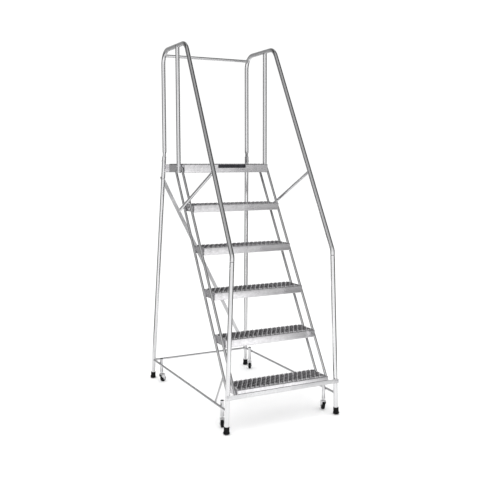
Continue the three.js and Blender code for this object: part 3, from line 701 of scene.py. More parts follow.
def connect(tree, shader, colour_out, roughness_out, height_out, strength, distance):
    tree.links.new(colour_out, shader.inputs["Base Color"])
    tree.links.new(roughness_out, shader.inputs["Roughness"])
    relief = {"Strength": strength, "Distance": distance, "Height": height_out}
    bump = node(tree, "ShaderNodeBump", relief)
    tree.links.new(bump.outputs["Normal"], shader.inputs["Normal"])


def metal_finish(name, base, dull, line_depth, smudge, bloom, across_scale=700.0, along=3.0):
    """Drawn or folded metal: base roughness, depth of its lines, smudging and plating bloom."""
    material, tree, shader = surface(name, 1.0)
    marks = use_effect(tree, "drawn_marks", along=along, across=across_scale)
    wear = use_effect(tree, "handling_wear", size=9.0)
    plating = use_effect(tree, "plating_bloom", size=60.0)
    tone = maths(tree, "SUBTRACT", 1.06, maths(tree, "MULTIPLY", marks["Bands"], line_depth * 0.5))
    tone = maths(tree, "SUBTRACT", tone, maths(tree, "MULTIPLY", wear["Smudges"], smudge * 0.45))
    tone = maths(tree, "SUBTRACT", tone, maths(tree, "MULTIPLY", plating["Mottle"], bloom * 0.45))
    tone = maths(tree, "SUBTRACT", tone, maths(tree, "MULTIPLY", plating["Crystals"], bloom * 0.16))
    tone = maths(tree, "SUBTRACT", tone, maths(tree, "MULTIPLY", wear["Scratches"], 0.03))
    rough = maths(tree, "ADD", dull, maths(tree, "MULTIPLY", marks["Lines"], line_depth * 0.35))
    rough = maths(tree, "ADD", rough, maths(tree, "MULTIPLY", wear["Smudges"], smudge * 0.55))
    rough = maths(tree, "ADD", rough, maths(tree, "MULTIPLY", plating["Mottle"], bloom * 0.25))
    rough = maths(tree, "ADD", rough, maths(tree, "MULTIPLY", wear["Scratches"], 0.08), clamp=True)
    height = maths(tree, "MULTIPLY", marks["Lines"], line_depth)
    height = maths(tree, "SUBTRACT", height, maths(tree, "MULTIPLY", wear["Scratches"], 0.06))
    height = maths(tree, "SUBTRACT", height, maths(tree, "MULTIPLY", wear["Pits"], 0.12))
    height = maths(tree, "ADD", height, maths(tree, "MULTIPLY", plating["Mottle"], bloom * 0.4))
    connect(tree, shader, tinted(tree, base, tone), rough, height, 0.25, 0.0002)
    return material


def moulded_finish(name, base, dull, dust, grain_scale=900.0):
    """Moulded rubber or plastic with a fine skin, scuffs and dust."""
    material, tree, shader = surface(name, 0.0, 0.12)
    place = node(tree, "ShaderNodeTexCoord").outputs["Object"]
    wear = use_effect(tree, "handling_wear", size=30.0)
    lying = use_effect(tree, "settled_dust", height=0.06)
    skin = noise(tree, place, grain_scale, 3.0, 0.6)
    tone = maths(tree, "ADD", 0.8, maths(tree, "MULTIPLY", skin, 0.4))
    tone = maths(tree, "ADD", tone, maths(tree, "MULTIPLY", wear["Smudges"], 0.7))
    tone = maths(tree, "ADD", tone, maths(tree, "MULTIPLY", wear["Scratches"], 2.0))
    tone = maths(tree, "ADD", tone, maths(tree, "MULTIPLY", lying["Dust"], dust))
    rough = maths(tree, "ADD", dull, maths(tree, "MULTIPLY", wear["Smudges"], 0.12), clamp=True)
    height = maths(tree, "SUBTRACT", skin, maths(tree, "MULTIPLY", wear["Scratches"], 1.5))
    connect(tree, shader, tinted(tree, base, tone), rough, height, 0.3, 0.0003)
    return material


FINISHES = {}


def finish(name):
    """The finish of that name, made the first time it is asked for."""
    if name not in FINISHES:
        shades = bpy.context.scene.ladder_colours
        makers = {
            "polished tube": lambda n: metal_finish(n, shades.tube, 0.10, 0.16, 0.12, 0.06),
            "satin bar": lambda n: metal_finish(n, shades.bar, 0.2, 0.25, 0.2, 0.16),
            "tread sheet": lambda n: metal_finish(n, shades.tread, 0.07, 0.2, 0.15, 0.42, 420.0, 6.0),
            # Cut sheet: painted shade for the walls inside the tread openings, on a rough cut-edge
            # finish.
            "cut sheet": lambda n: metal_finish(n, shades.cut, 0.45, 0.3, 0.3, 0.3, 420.0, 6.0),
            "zinc": lambda n: metal_finish(n, shades.zinc, 0.24, 0.12, 0.25, 0.35),
            "weld bead": lambda n: metal_finish(n, shades.weld, 0.34, 0.2, 0.5, 0.5),
            "spring wire": lambda n: metal_finish(n, shades.spring, 0.3, 0.2, 0.4, 0.1),
            "tip rubber": lambda n: moulded_finish(n, shades.rubber, 0.55, 0.5),
            "wheel rubber": lambda n: moulded_finish(n, shades.wheel, 0.45, 0.7),
            "label plate": lambda n: moulded_finish(n, shades.label, 0.4, 0.2, 1600.0),
        }
        FINISHES[name] = makers[name](name.capitalize())
    return FINISHES[name]


# ---------------------------------------------------------------- centre lines
def at_height(a, b, z):
    return a.lerp(b, (z - a.z) / (b.z - a.z))


def side_lines(side):
    """Centre lines of one side of the frame."""
    s = bpy.context.scene.ladder_tubes
    name = "left" if side < 0 else "right"
    front, rear = -s.base_depth / 2, s.base_depth / 2
    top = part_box(f"{name}_handrail")[1].z - s.rail_radius
    base = middle("rear_cross_bar").z
    front_foot = Vector((side * s.tip_half, front, 0))
    rear_foot = Vector((side * s.tip_half, rear, 0))
    waist = Vector((side * s.waist_half, front, s.waist_height))
    upright = front + s.upright_setback
    top_front = Vector((side * s.hand_half, front + s.handrail_run, top))
    top_rear = Vector((side * s.hand_half, upright, top))
    shoulder = Vector((side * s.hand_half, upright, s.rear_shoulder))
    step = middle("tread_2") - middle("tread_1")
    stringer_x = side * (extent("tread_1").x / 2 + TOUCH + s.stringer_radius)

    def stringer(lead, z):
        return Vector((stringer_x, front + lead + z * step.y / step.z, z))

    return SimpleNamespace(
        name=name,
        side=side,
        front_foot=front_foot,
        rear_foot=rear_foot,
        waist=waist,
        top_front=top_front,
        top_rear=top_rear,
        shoulder=shoulder,
        front_seam=at_height(front_foot, waist, s.front_seam),
        rear_seam=at_height(rear_foot, shoulder, s.rear_seam),
        base_front=at_height(front_foot, waist, base),
        base_rear=at_height(rear_foot, shoulder, base),
        front_stringer=lambda z: stringer(s.stringer_lead, z),
        rear_stringer=lambda z: stringer(s.stringer_lead + s.stringer_spacing, z),
    )


def both_sides():
    return [side_lines(side) for side in SIDES.values()]


def level_end(shape, height, keep_above):
    """Cuts a tube level at a height, with a face across the cut."""
    geometry = shape.verts[:] + shape.edges[:] + shape.faces[:]
    normal = Vector((0, 0, -1 if keep_above else 1))
    result = bmesh.ops.bisect_plane(
        shape, geom=geometry, dist=1e-6, plane_co=(0, 0, height), plane_no=normal, clear_outer=True
    )
    edges = [e for e in result["geom_cut"] if isinstance(e, bmesh.types.BMEdge)]
    bmesh.ops.holes_fill(shape, edges=edges, sides=0)


def one_tube(name, places, radii, nodes, finish_name, mouth=0.0, levels=None):
    shape = new_mesh()
    sweep(shape, places, radii, bpy.context.scene.ladder_tubes.sides, mouth)
    if levels:
        level_end(shape, levels[0], True)
        level_end(shape, levels[1], False)
    piece = piece_from(name, shape)
    return place_piece(piece, "frame", finish(finish_name), nodes)


class LADDER_OT_side_frames(bpy.types.Operator):
    """Bends the handrails and sets the legs, posts, stringers and braces of both sides"""

    bl_idname = "ladder_stand.side_frames"
    bl_label = "Side frames"

    def execute(self, context):
        s = context.scene.ladder_tubes
        for lines in both_sides():
            self.bend_handrail(lines, s)
            self.set_legs(lines, s)
            self.set_stair_tubes(lines, s)
            self.set_brace(lines, s)
        return {"FINISHED"}

    def bend_handrail(self, lines, s):
        """The handrail, top rail and rear upright are one tube, drawn in at both ends."""
        down = (lines.front_foot - lines.waist).normalized()
        rear_down = (lines.rear_foot - lines.shoulder).normalized()
        cone, rear_cone, spigot = 0.004, 0.012, 0.060
        drop = s.rear_shoulder - s.rear_seam
        corners = [lines.front_seam, lines.waist, lines.top_front, lines.top_rear, lines.shoulder]
        bends = rounded(corners[:3], s.waist_bend)[:-1] + rounded(corners[1:], s.top_bend, 16)[1:]
        places = [lines.front_seam + down * spigot, lines.front_seam + down * cone, *bends]
        thin = s.rail_radius - s.swage
        radii = [thin, thin] + [s.rail_radius] * len(bends)
        for share in (0.25, 0.5, 0.75, 1.0):
            places.append(lines.shoulder + rear_down * rear_cone * share)
            radii.append(s.rail_radius - s.swage * (3 * share**2 - 2 * share**3))
        places.append(lines.shoulder + rear_down * (drop + spigot))
        radii.append(thin)
        one_tube(
            f"{lines.name}_bent_handrail", places, radii, [f"{lines.name}_handrail"],
            "polished tube",
        )

    def set_legs(self, lines, s):
        for end, foot, seam in (
            ("front", lines.front_foot, lines.front_seam),
            ("rear", lines.rear_foot, lines.rear_seam),
        ):
            node_name = f"{lines.name}_{end}_leg"
            low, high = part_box(node_name)
            places = [at_height(foot, seam, low.z + TOUCH), at_height(foot, seam, high.z - TOUCH)]
            one_tube(
                f"{lines.name}_{end}_leg_tube", places, s.rail_radius, [node_name],
                "polished tube", mouth=s.rail_wall,
            )
        post = middle(f"{lines.name}_mid_post")
        head = lines.top_front.z - s.rail_radius * 0.3
        places = [Vector((post.x, post.y, s.post_foot)), Vector((post.x, post.y, head))]
        one_tube(
            f"{lines.name}_mid_post_tube", places, s.rail_radius, [f"{lines.name}_mid_post"],
            "polished tube", mouth=s.rail_wall,
        )

    def set_stair_tubes(self, lines, s):
        for end, line in (("front", lines.front_stringer), ("rear", lines.rear_stringer)):
            node_name = f"{lines.name}_{end}_stringer"
            low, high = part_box(node_name)
            spare = 0.03
            places = [line(low.z - spare), line(high.z + spare)]
            one_tube(
                f"{lines.name}_{end}_stringer_tube", places, s.stringer_radius, [node_name],
                "polished tube", levels=(low.z, high.z),
            )
        outward = 0.002
        top, foot = strut_ends(lines, s)
        head = top + Vector((lines.side * outward, 0, 0))
        run = (foot - head).normalized()
        places = [head + run * s.stringer_radius * 0.9, foot - run * s.base_radius * 0.7]
        one_tube(
            f"{lines.name}_base_strut_rod", places, s.strut_radius, [f"{lines.name}_base_strut"],
            "satin bar",
        )

    def set_brace(self, lines, s):
        low, high = brace_ends(lines, s)
        one_tube(
            f"{lines.name}_brace_tube", [low, high], s.brace_radius,
            [f"{lines.name}_handrail_brace"], "polished tube", mouth=s.light_wall,
        )


def on_base_rail(lines, y):
    """The place on a base rail's centre line at a depth."""
    share = (y - lines.base_front.y) / (lines.base_rear.y - lines.base_front.y)
    return lines.base_front.lerp(lines.base_rear, share)


def strut_ends(lines, s):
    """Where a base strut leaves the rear stringer, and the base rail right below."""
    top = lines.rear_stringer(s.strut_height)
    return top, on_base_rail(lines, top.y)


def brace_ends(lines, s):
    """The centre line of a handrail brace, from its foot beside the stringers to the handrail."""
    low_box, high_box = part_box(f"{lines.name}_handrail_brace")
    fall = (high_box.z - low_box.z) / (high_box.y - low_box.y)
    lean = math.atan(fall)
    low = Vector((
        0,
        high_box.y - s.brace_radius * math.sin(lean),
        low_box.z + s.brace_radius * math.cos(lean),
    ))
    rail = at_height(lines.waist, lines.top_front, bpy.context.scene.ladder_bars.brace_top)
    outward, inward = 0.0012, 0.0025
    beside = abs(lines.front_stringer(0).x) + s.stringer_radius + TOUCH + s.brace_radius
    low.x = lines.side * (beside + outward)
    high = Vector((lines.side * (beside - inward), rail.y, rail.z))
    return low, high + (low - high).normalized() * s.rail_radius * 0.8


class LADDER_OT_base_bars(bpy.types.Operator):
    """Sets the base rails, the cross bars, the guard rail and the diagonal brace"""

    bl_idname = "ladder_stand.base_bars"
    bl_label = "Bars between the sides"

    def execute(self, context):
        s = context.scene.ladder_tubes
        left, right = both_sides()
        reach = s.rail_radius * 0.8
        for lines in (left, right):
            run = (lines.base_rear - lines.base_front).normalized() * reach
            one_tube(
                f"{lines.name}_base_rail_tube", [lines.base_front + run, lines.base_rear - run],
                s.base_radius, [f"{lines.name}_base_rail"], "satin bar",
            )
        aside = Vector((reach, 0, 0))
        one_tube(
            "rear_cross_tube", [left.base_rear + aside, right.base_rear - aside], s.base_radius,
            ["rear_cross_bar"], "satin bar",
        )
        guard = middle("rear_guard_rail")
        half = extent("rear_guard_rail").x / 2
        one_tube(
            "rear_guard_tube",
            [Vector((-half, guard.y, guard.z)), Vector((half, guard.y, guard.z))],
            s.brace_radius, ["rear_guard_rail"], "polished tube",
        )
        self.fold_front_bar(context.scene.ladder_bars)
        self.cut_diagonal(left, right, s, context.scene.ladder_bars)
        return {"FINISHED"}

    def fold_front_bar(self, b):
        """An angle under the first step, with a flat tab at each end."""
        low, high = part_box("front_cross_bar")
        thick, corner, tab = b.angle_sheet, b.angle_bend, b.angle_tab
        inside = high.x - tab
        ledge = high.y - low.y
        tall = high.z - low.z
        outer = [(corner - x, corner - y) for x, y in arc(corner, 0, 90, 5)]
        inner = [(corner - x, corner - y) for x, y in arc(corner - thick, 90, -90, 5)]
        outline = [(thick, tall), (0.0, tall)] + outer + [(ledge, 0.0), (ledge, thick)] + inner
        shape = new_mesh()
        y, z, x = Vector((0, 1, 0)), Vector((0, 0, 1)), Vector((1, 0, 0))
        prism(shape, outline, Vector((-inside, low.y, low.z)), y, z, x, 2 * inside)
        lap, shim = 0.003, 0.00002
        flat = round_rectangle(tab + 2 * lap, tall, 0.003)
        for side in SIDES.values():
            place = Vector((side * (inside + tab / 2 - lap), low.y + shim, (low.z + high.z) / 2))
            prism(shape, flat, place, x, z, y, thick - 2 * shim)
        piece = piece_from("front_angle_bar", shape)
        place_piece(piece, "frame", finish("satin bar"), ["front_cross_bar"])

    def cut_diagonal(self, left, right, s, b):
        """A flat bar behind the rear legs, with rounded ends."""
        high, low, outward = diagonal_line(left, right, b)
        run = (low - high).normalized()
        up = outward.cross(run).normalized()
        normal = run.cross(up)
        long = (low - high).length + 2 * b.diagonal_past
        centre = (high + low) / 2 + outward * (s.rail_radius + TOUCH)
        if normal.dot(outward) < 0:
            normal = -normal
        shape = new_mesh()
        outline = round_rectangle(long, b.diagonal_width, 0.004, 5)
        prism(shape, outline, centre, run, up, normal, b.diagonal_sheet)
        edges = [e for e in shape.edges if e.is_manifold and e.calc_face_angle(0) > 1.2]
        bmesh.ops.bevel(shape, geom=edges, offset=0.0005, segments=2, affect="EDGES", profile=0.5)
        piece = piece_from("rear_diagonal_flat", shape)
        place_piece(piece, "frame", finish("satin bar"), ["rear_diagonal_brace"])


def diagonal_line(left, right, b):
    """Where the diagonal crosses the rear legs, and the way it faces."""
    high = at_height(left.rear_foot, left.shoulder, b.diagonal_high)
    low = at_height(right.rear_foot, right.shoulder, b.diagonal_low)
    leg = left.rear_foot - left.rear_seam
    outward = Vector((0, -leg.z, leg.y)).normalized()
    return high, low, outward


# ---------------------------------------------------------------- steps
def diamond(cx, cy, half_width, half_length, steps):
    """The outline of a diamond, counter-clockwise, with as many points on each side."""
    corners = [(half_width, 0), (0, half_length), (-half_width, 0), (0, -half_length)]
    points = []
    for (ax, ay), (bx, by) in zip(corners, corners[1:] + corners[:1]):
        for k in range(steps):
            share = k / steps
            points.append((cx + ax + (bx - ax) * share, cy + ay + (by - ay) * share))
    return points


def opening_centres(width, depth, p):
    """Centres of the straight rows of diamonds and of the offset rows between them."""
    border, stud_inset = 0.016, 0.0105
    columns = int((width - 2 * p.margin) / p.pitch)
    rows = round((depth - 2 * p.margin) / p.row)
    row = (depth - border) / rows
    first = (depth - row * (rows - 1)) / 2
    centres = []
    for r in range(rows):
        for c in range(columns):
            centres.append(((c - (columns - 1) / 2) * p.pitch, first + r * row))
    for r in range(rows - 1):
        for c in range(columns - 1):
            centres.append(((c - (columns - 2) / 2) * p.pitch, first + (r + 0.5) * row))
    studs = []
    for c in range(columns - 1):
        for y in (stud_inset, depth - stud_inset):
            studs.append(((c - (columns - 2) / 2) * p.pitch, y))
    return centres, studs


def grip_deck(shape, width, depth, p):
    """The deck: diamond openings drawn down into strands, with teeth around each opening."""
    centres, studs = opening_centres(width, depth, p)
    spread, length_spread = 0.0034, 0.0045
    rim, rim_length = 0.0011, 0.0017
    inset = p.fold + 0.002
    plane = [
        (-width / 2, inset), (width / 2, inset), (width / 2, depth - inset), (-width / 2, depth - inset)
    ]
    flat = [Vector(point) for point in plane]
    faces = []
    for cx, cy in centres:
        start = len(flat)
        loop = diamond(cx, cy, p.half_width + spread, p.half_length + length_spread, p.steps)
        flat += [Vector(point) for point in loop]
        faces.append(list(range(start, start + len(loop))))
    edges = [(0, 1), (1, 2), (2, 3), (3, 0)]
    places, _, triangles, sources, _, owners = delaunay_2d_cdt(flat, edges, faces, 0, 1e-7)
    origin = {}
    sheets = []
    for z in (-p.sink, -p.sink - p.sheet):
        made = [vert(shape, (q.x, q.y, z)) for q in places]
        sheets.append(made)
        for triangle, owner in zip(triangles, owners):
            if not owner:
                shape.faces.new([made[i] for i in triangle])
    for i, source in enumerate(sources):
        for k in source:
            origin[k] = i
    band(shape, [sheets[0][origin[k]] for k in range(4)], [sheets[1][origin[k]] for k in range(4)])
    for (cx, cy), face in zip(centres, faces):
        outer = [sheets[0][origin[k]] for k in face]
        under = [sheets[1][origin[k]] for k in face]
        loops = [outer]
        for grow, long_grow, level, toothed in (
            (rim, rim_length, 0.0, True),
            (0.0, 0.0, 0.0, True),
            (0.0, 0.0, -p.strand, False),
            (rim, rim_length, -p.strand, False),
        ):
            outline = diamond(cx, cy, p.half_width + grow, p.half_length + long_grow, p.steps)
            loop = []
            for i, (x, y) in enumerate(outline):
                notch = p.tooth if toothed and i % 2 == 0 else 0.0
                loop.append(vert(shape, (x, y, level - notch)))
            loops.append(loop)
        loops.append(under)
        # The wall from each tooth edge down to the strand takes slot 1, the cut sheet made dark as
        # painted shade inside the opening.
        for first, second in zip(loops, loops[1:]):
            band(shape, first, second, int(first is loops[2]))
    for x, y in studs:
        profile = [
            (0.0047, -p.sink), (0.0036, -0.0004), (0.0030, 0.0), (0.0019, -0.0002),
            (0.0015, -p.sink), (0.0, -p.sink),
        ]
        lathe(shape, profile, Vector((x, y, 0)), Vector((0, 0, 1)), 10)


def lip_outline(lip, p):
    """Section of a folded lip as (depth, height) points, from the deck down and back."""
    bend = [math.pi / 2 * k / 4 for k in range(5)]  # quarter turn in four steps
    r, t = p.fold, p.sheet
    top = -p.sink
    outer = [(r + 0.002, top)]
    outer += [(r - r * math.sin(a), top - r + r * math.cos(a)) for a in bend]
    outer += [(r - r * math.cos(a), -lip + r - r * math.sin(a)) for a in bend]
    outer += [(p.lip_return, -lip), (p.lip_return, -lip + t)]
    q = r - t
    inner = [(r - q * math.cos(a), -lip + r - q * math.sin(a)) for a in reversed(bend)]
    inner += [(r - q * math.sin(a), top - r + q * math.cos(a)) for a in reversed(bend)]
    return outer + inner + [(r + 0.002, top - t)]


def plank(width, depth, lip, p):
    """A grip-strut plank: deck, folded lips and end plates, from the middle of its front edge."""
    shape = new_mesh()
    grip_deck(shape, width, depth, p)
    x, y, z = Vector((1, 0, 0)), Vector((0, 1, 0)), Vector((0, 0, 1))
    section = lip_outline(lip, p)
    prism(shape, section, Vector((-width / 2, 0, 0)), y, z, x, width)
    prism(shape, section, Vector((-width / 2, depth, 0)), -y, z, x, width)
    clear, cut_back = 0.0035, 0.013
    tall = lip - p.sink - clear
    end_plate = round_rectangle(depth - cut_back, tall, 0.004)
    for side in SIDES.values():
        low_x = min(side * width / 2, side * (width / 2 - p.sheet))
        place = Vector((low_x, depth / 2 + clear, -p.sink - p.sheet / 2 - tall / 2))
        prism(shape, end_plate, place, y, z, x, p.sheet)
    return shape


class LADDER_OT_steps(bpy.types.Operator):
    """Folds the five grip-strut treads and the platform"""

    bl_idname = "ladder_stand.steps"
    bl_label = "Treads and platform"

    def execute(self, context):
        p = context.scene.ladder_planks
        size = extent("tread_1")
        shared = piece_from("tread_pattern", plank(size.x, size.y, size.z, p), 30.0)
        for k in range(1, 6):
            low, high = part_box(f"tread_{k}")
            piece = bpy.data.objects.new(f"grip_tread_{k}", shared.data)
            context.scene.collection.objects.link(piece)
            piece.location = (0, low.y, high.z)
            context.view_layer.update()
            place_piece(piece, "frame", finish("tread sheet"), [f"tread_{k}"])
        # Second slot: the opening walls, dark with painted shade.
        shared.data.materials.append(finish("cut sheet"))
        bpy.data.objects.remove(shared)
        self.fold_platform(size.x, p)
        return {"FINISHED"}

    def fold_platform(self, width, p):
        """The top plank, with a lug to each rear leg and a blank label plate."""
        lug_back, lug_sheet, lug_top, lug_foot = 0.0115, 0.002, -0.006, -0.050
        low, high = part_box("platform")
        depth, lip = high.y - low.y, high.z - low.z
        shape = plank(width, depth, lip, p)
        for lines in both_sides():
            leg = at_height(lines.rear_foot, lines.rear_seam, high.z + (lug_top + lug_foot) / 2)
            inner = lines.side * (width / 2 - p.sheet)
            outer = leg.x - lines.side * 0.004
            solid_box(
                shape,
                (min(inner, outer), depth - lug_back - lug_sheet, lug_foot),
                (max(inner, outer), depth - lug_back, lug_top),
            )
        bmesh.ops.translate(shape, verts=shape.verts, vec=(0, low.y, high.z))
        piece = piece_from("grip_platform", shape, 30.0)
        place_piece(piece, "frame", finish("tread sheet"))
        # Second slot: the opening walls, dark with painted shade.
        piece.data.materials.append(finish("cut sheet"))
        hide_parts("platform")
        plate = new_mesh()
        x, y, z = Vector((1, 0, 0)), Vector((0, 1, 0)), Vector((0, 0, 1))
        width, height, thickness = 0.200, 0.022, 0.0010
        spot = Vector((0.035, low.y - 0.0009, high.z - 0.017))
        prism(plate, round_rectangle(width, height, 0.002), spot, x, z, y, thickness)
        label = piece_from("blank_label_plate", plate)
        place_piece(label, "frame", finish("label plate"))


# ---------------------------------------------------------------- tips
class LADDER_OT_tips(bpy.types.Operator):
    """Moulds the four ribbed rubber tips"""

    bl_idname = "ladder_stand.tips"
    bl_label = "Rubber tips"

    def execute(self, context):
        for lines in both_sides():
            for end, foot, seam in (
                ("front", lines.front_foot, lines.front_seam),
                ("rear", lines.rear_foot, lines.rear_seam),
            ):
                self.mould(lines.name, end, foot, seam, context.scene.ladder_tubes)
        return {"FINISHED"}

    def mould(self, name, end, foot, seam, s):
        node_name = f"{name}_{end}_tip"
        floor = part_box(node_name)[0].z
        base = at_height(foot, seam, floor)
        axis = (seam - foot).normalized()
        bore = s.rail_radius + TOUCH
        cup, flange = bore + 0.0022, 0.0188
        shape = new_mesh()
        lathe(
            shape,
            [
                (flange - 0.0015, -0.006), (flange - 0.0010, 0.0), (flange, 0.0020),
                (flange + 0.0003, 0.0045), (flange, 0.0070), (cup + 0.0022, 0.0092),
                (cup + 0.0004, 0.0120), (cup, 0.0160), (cup, 0.0345), (cup + 0.0006, 0.0355),
                (cup + 0.0007, 0.0380), (cup, 0.0398), (cup - 0.0008, 0.0402), (bore, 0.0398),
                (bore, 0.030), (bore - 0.001, 0.028), (0.0, 0.028),
            ],
            base, axis, 72, ribs=24, rib=0.00030,
        )
        geometry = shape.verts[:] + shape.edges[:] + shape.faces[:]
        result = bmesh.ops.bisect_plane(
            shape, geom=geometry, dist=1e-6, plane_co=(0, 0, floor), plane_no=(0, 0, -1), clear_outer=True
        )
        edges = [e for e in result["geom_cut"] if isinstance(e, bmesh.types.BMEdge)]
        bmesh.ops.holes_fill(shape, edges=edges, sides=0)
        piece = piece_from(f"{name}_{end}_rubber_tip", shape, 50.0)
        place_piece(piece, "frame", finish("tip rubber"), [node_name])


# ---------------------------------------------------------------- casters
def arc(radius, start, turn, steps):
    """Points on an arc as (x, y), from the start angle through the turn, in degrees."""
    points = []
    for k in range(steps + 1):
        angle = math.radians(start + turn * k / steps)
        points.append((radius * math.cos(angle), radius * math.sin(angle)))
    return points


def caster_corners():
    """Each caster's name with its stem, wheel centre, trailing direction and spin axis."""
    for end in ENDS:
        for side in SIDES:
            name = f"{end}_{side}"
            stem = middle(f"{name}_caster_housing")
            stem.z = 0
            wheel = middle(f"{name}_caster_wheel")
            trail = Vector((wheel.x - stem.x, wheel.y - stem.y, 0)).normalized()
            yield name, stem, wheel, trail, trail.cross(Vector((0, 0, 1)))


class LADDER_OT_casters(bpy.types.Operator):
    """Builds the four spring casters: housing, spring, plunger, fork, axle and wheel"""

    bl_idname = "ladder_stand.casters"
    bl_label = "Spring casters"

    def execute(self, context):
        c = context.scene.ladder_casters
        for name, stem, wheel, trail, spin in caster_corners():
            self.turn_housing(name, stem, c)
            self.wind_spring(name, stem, c)
            self.turn_plunger(name, stem, c)
            self.press_fork(name, stem, wheel, trail, spin, c)
            self.set_axle(name, wheel, spin, c)
            self.mould_wheel(name, wheel, spin, c)
        return {"FINISHED"}

    def turn_housing(self, name, stem, c):
        """A tube drawn in around the stem below, with a black plug in its top."""
        low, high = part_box(f"{name}_caster_housing")
        outer = (high.y - low.y) / 2
        bore = outer - c.housing_wall
        mouth, plug = c.stem_radius + 0.001, 0.0024
        up = Vector((0, 0, 1))
        shape = new_mesh()
        lathe(
            shape,
            [
                (mouth, low.z + 0.0022), (mouth, low.z),
                (outer - 0.0012, low.z), (outer, low.z + 0.0012), (outer, low.z + 0.006),
                (outer - 0.0004, low.z + 0.0066), (outer - 0.0004, high.z - 0.008),
                (outer, high.z - 0.0074), (outer, high.z - 0.0022), (outer - 0.0008, high.z - 0.0006),
                (outer - 0.0022, high.z), (0.0, high.z), (0.0, high.z - 0.0025),
                (bore, high.z - 0.0025), (bore, low.z + 0.0025),
                (mouth, low.z + 0.0022),
            ],
            stem, up, 36,
        )
        for face in shape.faces:
            if min(point.co.z for point in face.verts) > high.z - plug:
                face.material_index = 1
        piece = piece_from(f"{name}_spring_housing", shape)
        place_piece(piece, "frame", finish("zinc"), [f"{name}_caster_housing"])
        piece.data.materials.append(finish("wheel rubber"))

    def wind_spring(self, name, stem, c):
        low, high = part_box(f"{name}_caster_spring")
        coil = (high.y - low.y) / 2 - c.spring_wire
        steps = 16
        count = c.spring_turns * steps
        places = []
        for i in range(count + 1):
            share = i / count
            rise = (3 * share**2 - 2 * share**3) * 0.25 + share * 0.75
            angle = math.tau * i / steps
            z = low.z + c.spring_wire + (high.z - low.z - 2 * c.spring_wire) * rise
            places.append(stem + Vector((coil * math.cos(angle), coil * math.sin(angle), z)))
        shape = new_mesh()
        sweep(shape, places, c.spring_wire, 8)
        piece = piece_from(f"{name}_coil_spring", shape)
        place_piece(piece, "frame", finish("spring wire"), [f"{name}_caster_spring"])
        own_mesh(piece)

    def turn_plunger(self, name, stem, c):
        low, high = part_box(f"{name}_caster_plunger")
        outer = (high.y - low.y) / 2
        bore = c.stem_radius + 0.0003
        shape = new_mesh()
        lathe(
            shape,
            [
                (bore, low.z), (outer - 0.0006, low.z), (outer, low.z + 0.0006),
                (outer, low.z + 0.005), (outer - 0.0008, low.z + 0.006),
                (outer - 0.0008, high.z - 0.004), (outer, high.z - 0.003),
                (outer, high.z - 0.0006), (outer - 0.0006, high.z), (0.0, high.z),
                (0.0, high.z - 0.004), (bore, high.z - 0.004), (bore, low.z),
            ],
            stem, Vector((0, 0, 1)), 28,
        )
        piece = piece_from(f"{name}_guide_plunger", shape)
        place_piece(piece, f"{name}_plunger", finish("zinc"), [f"{name}_caster_plunger"])

    def press_fork(self, name, stem, wheel, trail, spin, c):
        """A pressed fork: one sheet over the crown and down both cheeks, then race and stem."""
        up = Vector((0, 0, 1))
        _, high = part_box(f"{name}_caster_fork")
        reach = (wheel - stem).xy.length
        half, centre_z, r = c.fork_half, wheel.z, c.fork_bend
        heights = [centre_z - c.fork_eye * math.cos(math.pi / 2 * k / 6) for k in range(7)]
        heights += [centre_z + (c.fork_top - r - centre_z) * k / 6 for k in range(1, 7)]
        path = [(half, z, (1, 0)) for z in heights]
        for k in range(1, 6):
            angle = math.pi / 2 * k / 5
            way = (math.cos(angle), math.sin(angle))
            path.append((half - r + r * way[0], c.fork_top - r + r * way[1], way))
        path += [((half - r) * (1 - k / 3), c.fork_top, (0, 1)) for k in range(1, 3)]
        path += [(0.0, c.fork_top, (0, 1))]
        path += [(-x, z, (-w[0], w[1])) for x, z, w in reversed(path[:-1])]
        shape = new_mesh()
        steps = 8
        grids = []
        for inset in (0.0, c.fork_plate):
            grid = []
            for x, z, way in path:
                front, back = self.cheek_edges(z, reach, centre_z, c)
                row = []
                for k in range(steps + 1):
                    y = front + (back - front) * k / steps
                    place = stem + spin * (x - way[0] * inset) + trail * y + up * (z - way[1] * inset)
                    row.append(vert(shape, place))
                grid.append(row)
            grids.append(grid)
            for one, two in zip(grid, grid[1:]):
                for k in range(steps):
                    shape.faces.new((one[k], one[k + 1], two[k + 1], two[k]))
        rims = []
        for grid in grids:
            rims.append(
                [row[0] for row in grid] + grid[-1][1:-1]
                + [row[-1] for row in reversed(grid)] + grid[0][-2:0:-1]
            )
        band(shape, *rims)
        bmesh.ops.remove_doubles(shape, verts=shape.verts, dist=2e-5)
        rr, top, rod = c.race_radius, c.fork_top, c.stem_radius
        lathe(
            shape,
            [
                (0.0, top - 0.0040), (rr - 0.004, top - 0.0040), (rr - 0.002, top - 0.0028),
                (rr - 0.002, top - 0.0005), (rr, top - 0.0001), (rr, top + 0.0012),
                (rr - 0.0012, top + 0.0018), (rr - 0.0016, top + 0.0026),
                (rr - 0.0004, top + 0.0032), (rr - 0.0010, top + 0.0046),
                (rr - 0.0040, top + 0.0058), (rod + 0.001, top + 0.0060), (rod, top + 0.0064),
                (rod, high.z - 0.001), (rod - 0.001, high.z), (0.0, high.z),
            ],
            stem, up, 36,
        )
        piece = piece_from(f"{name}_pressed_fork", shape)
        place_piece(piece, f"{name}_fork", finish("zinc"), [f"{name}_caster_fork"])

    def cheek_edges(self, z, reach, eye_z, c):
        """The fork's front and back edges at a height, measured behind the stem."""
        if z <= eye_z:
            half = math.sqrt(max(c.fork_eye**2 - (eye_z - z) ** 2, 0.0))
            return reach - half, reach + half
        share = min((z - eye_z) / (c.fork_top - 0.012 - eye_z), 1.0)
        ease = share * share * (3 - 2 * share)
        front = reach - c.fork_eye
        back = reach + c.fork_eye
        return (
            front + (-c.fork_front - front) * ease,
            back + (c.fork_back - back) * ease + 0.0015 * math.sin(math.pi * share),
        )

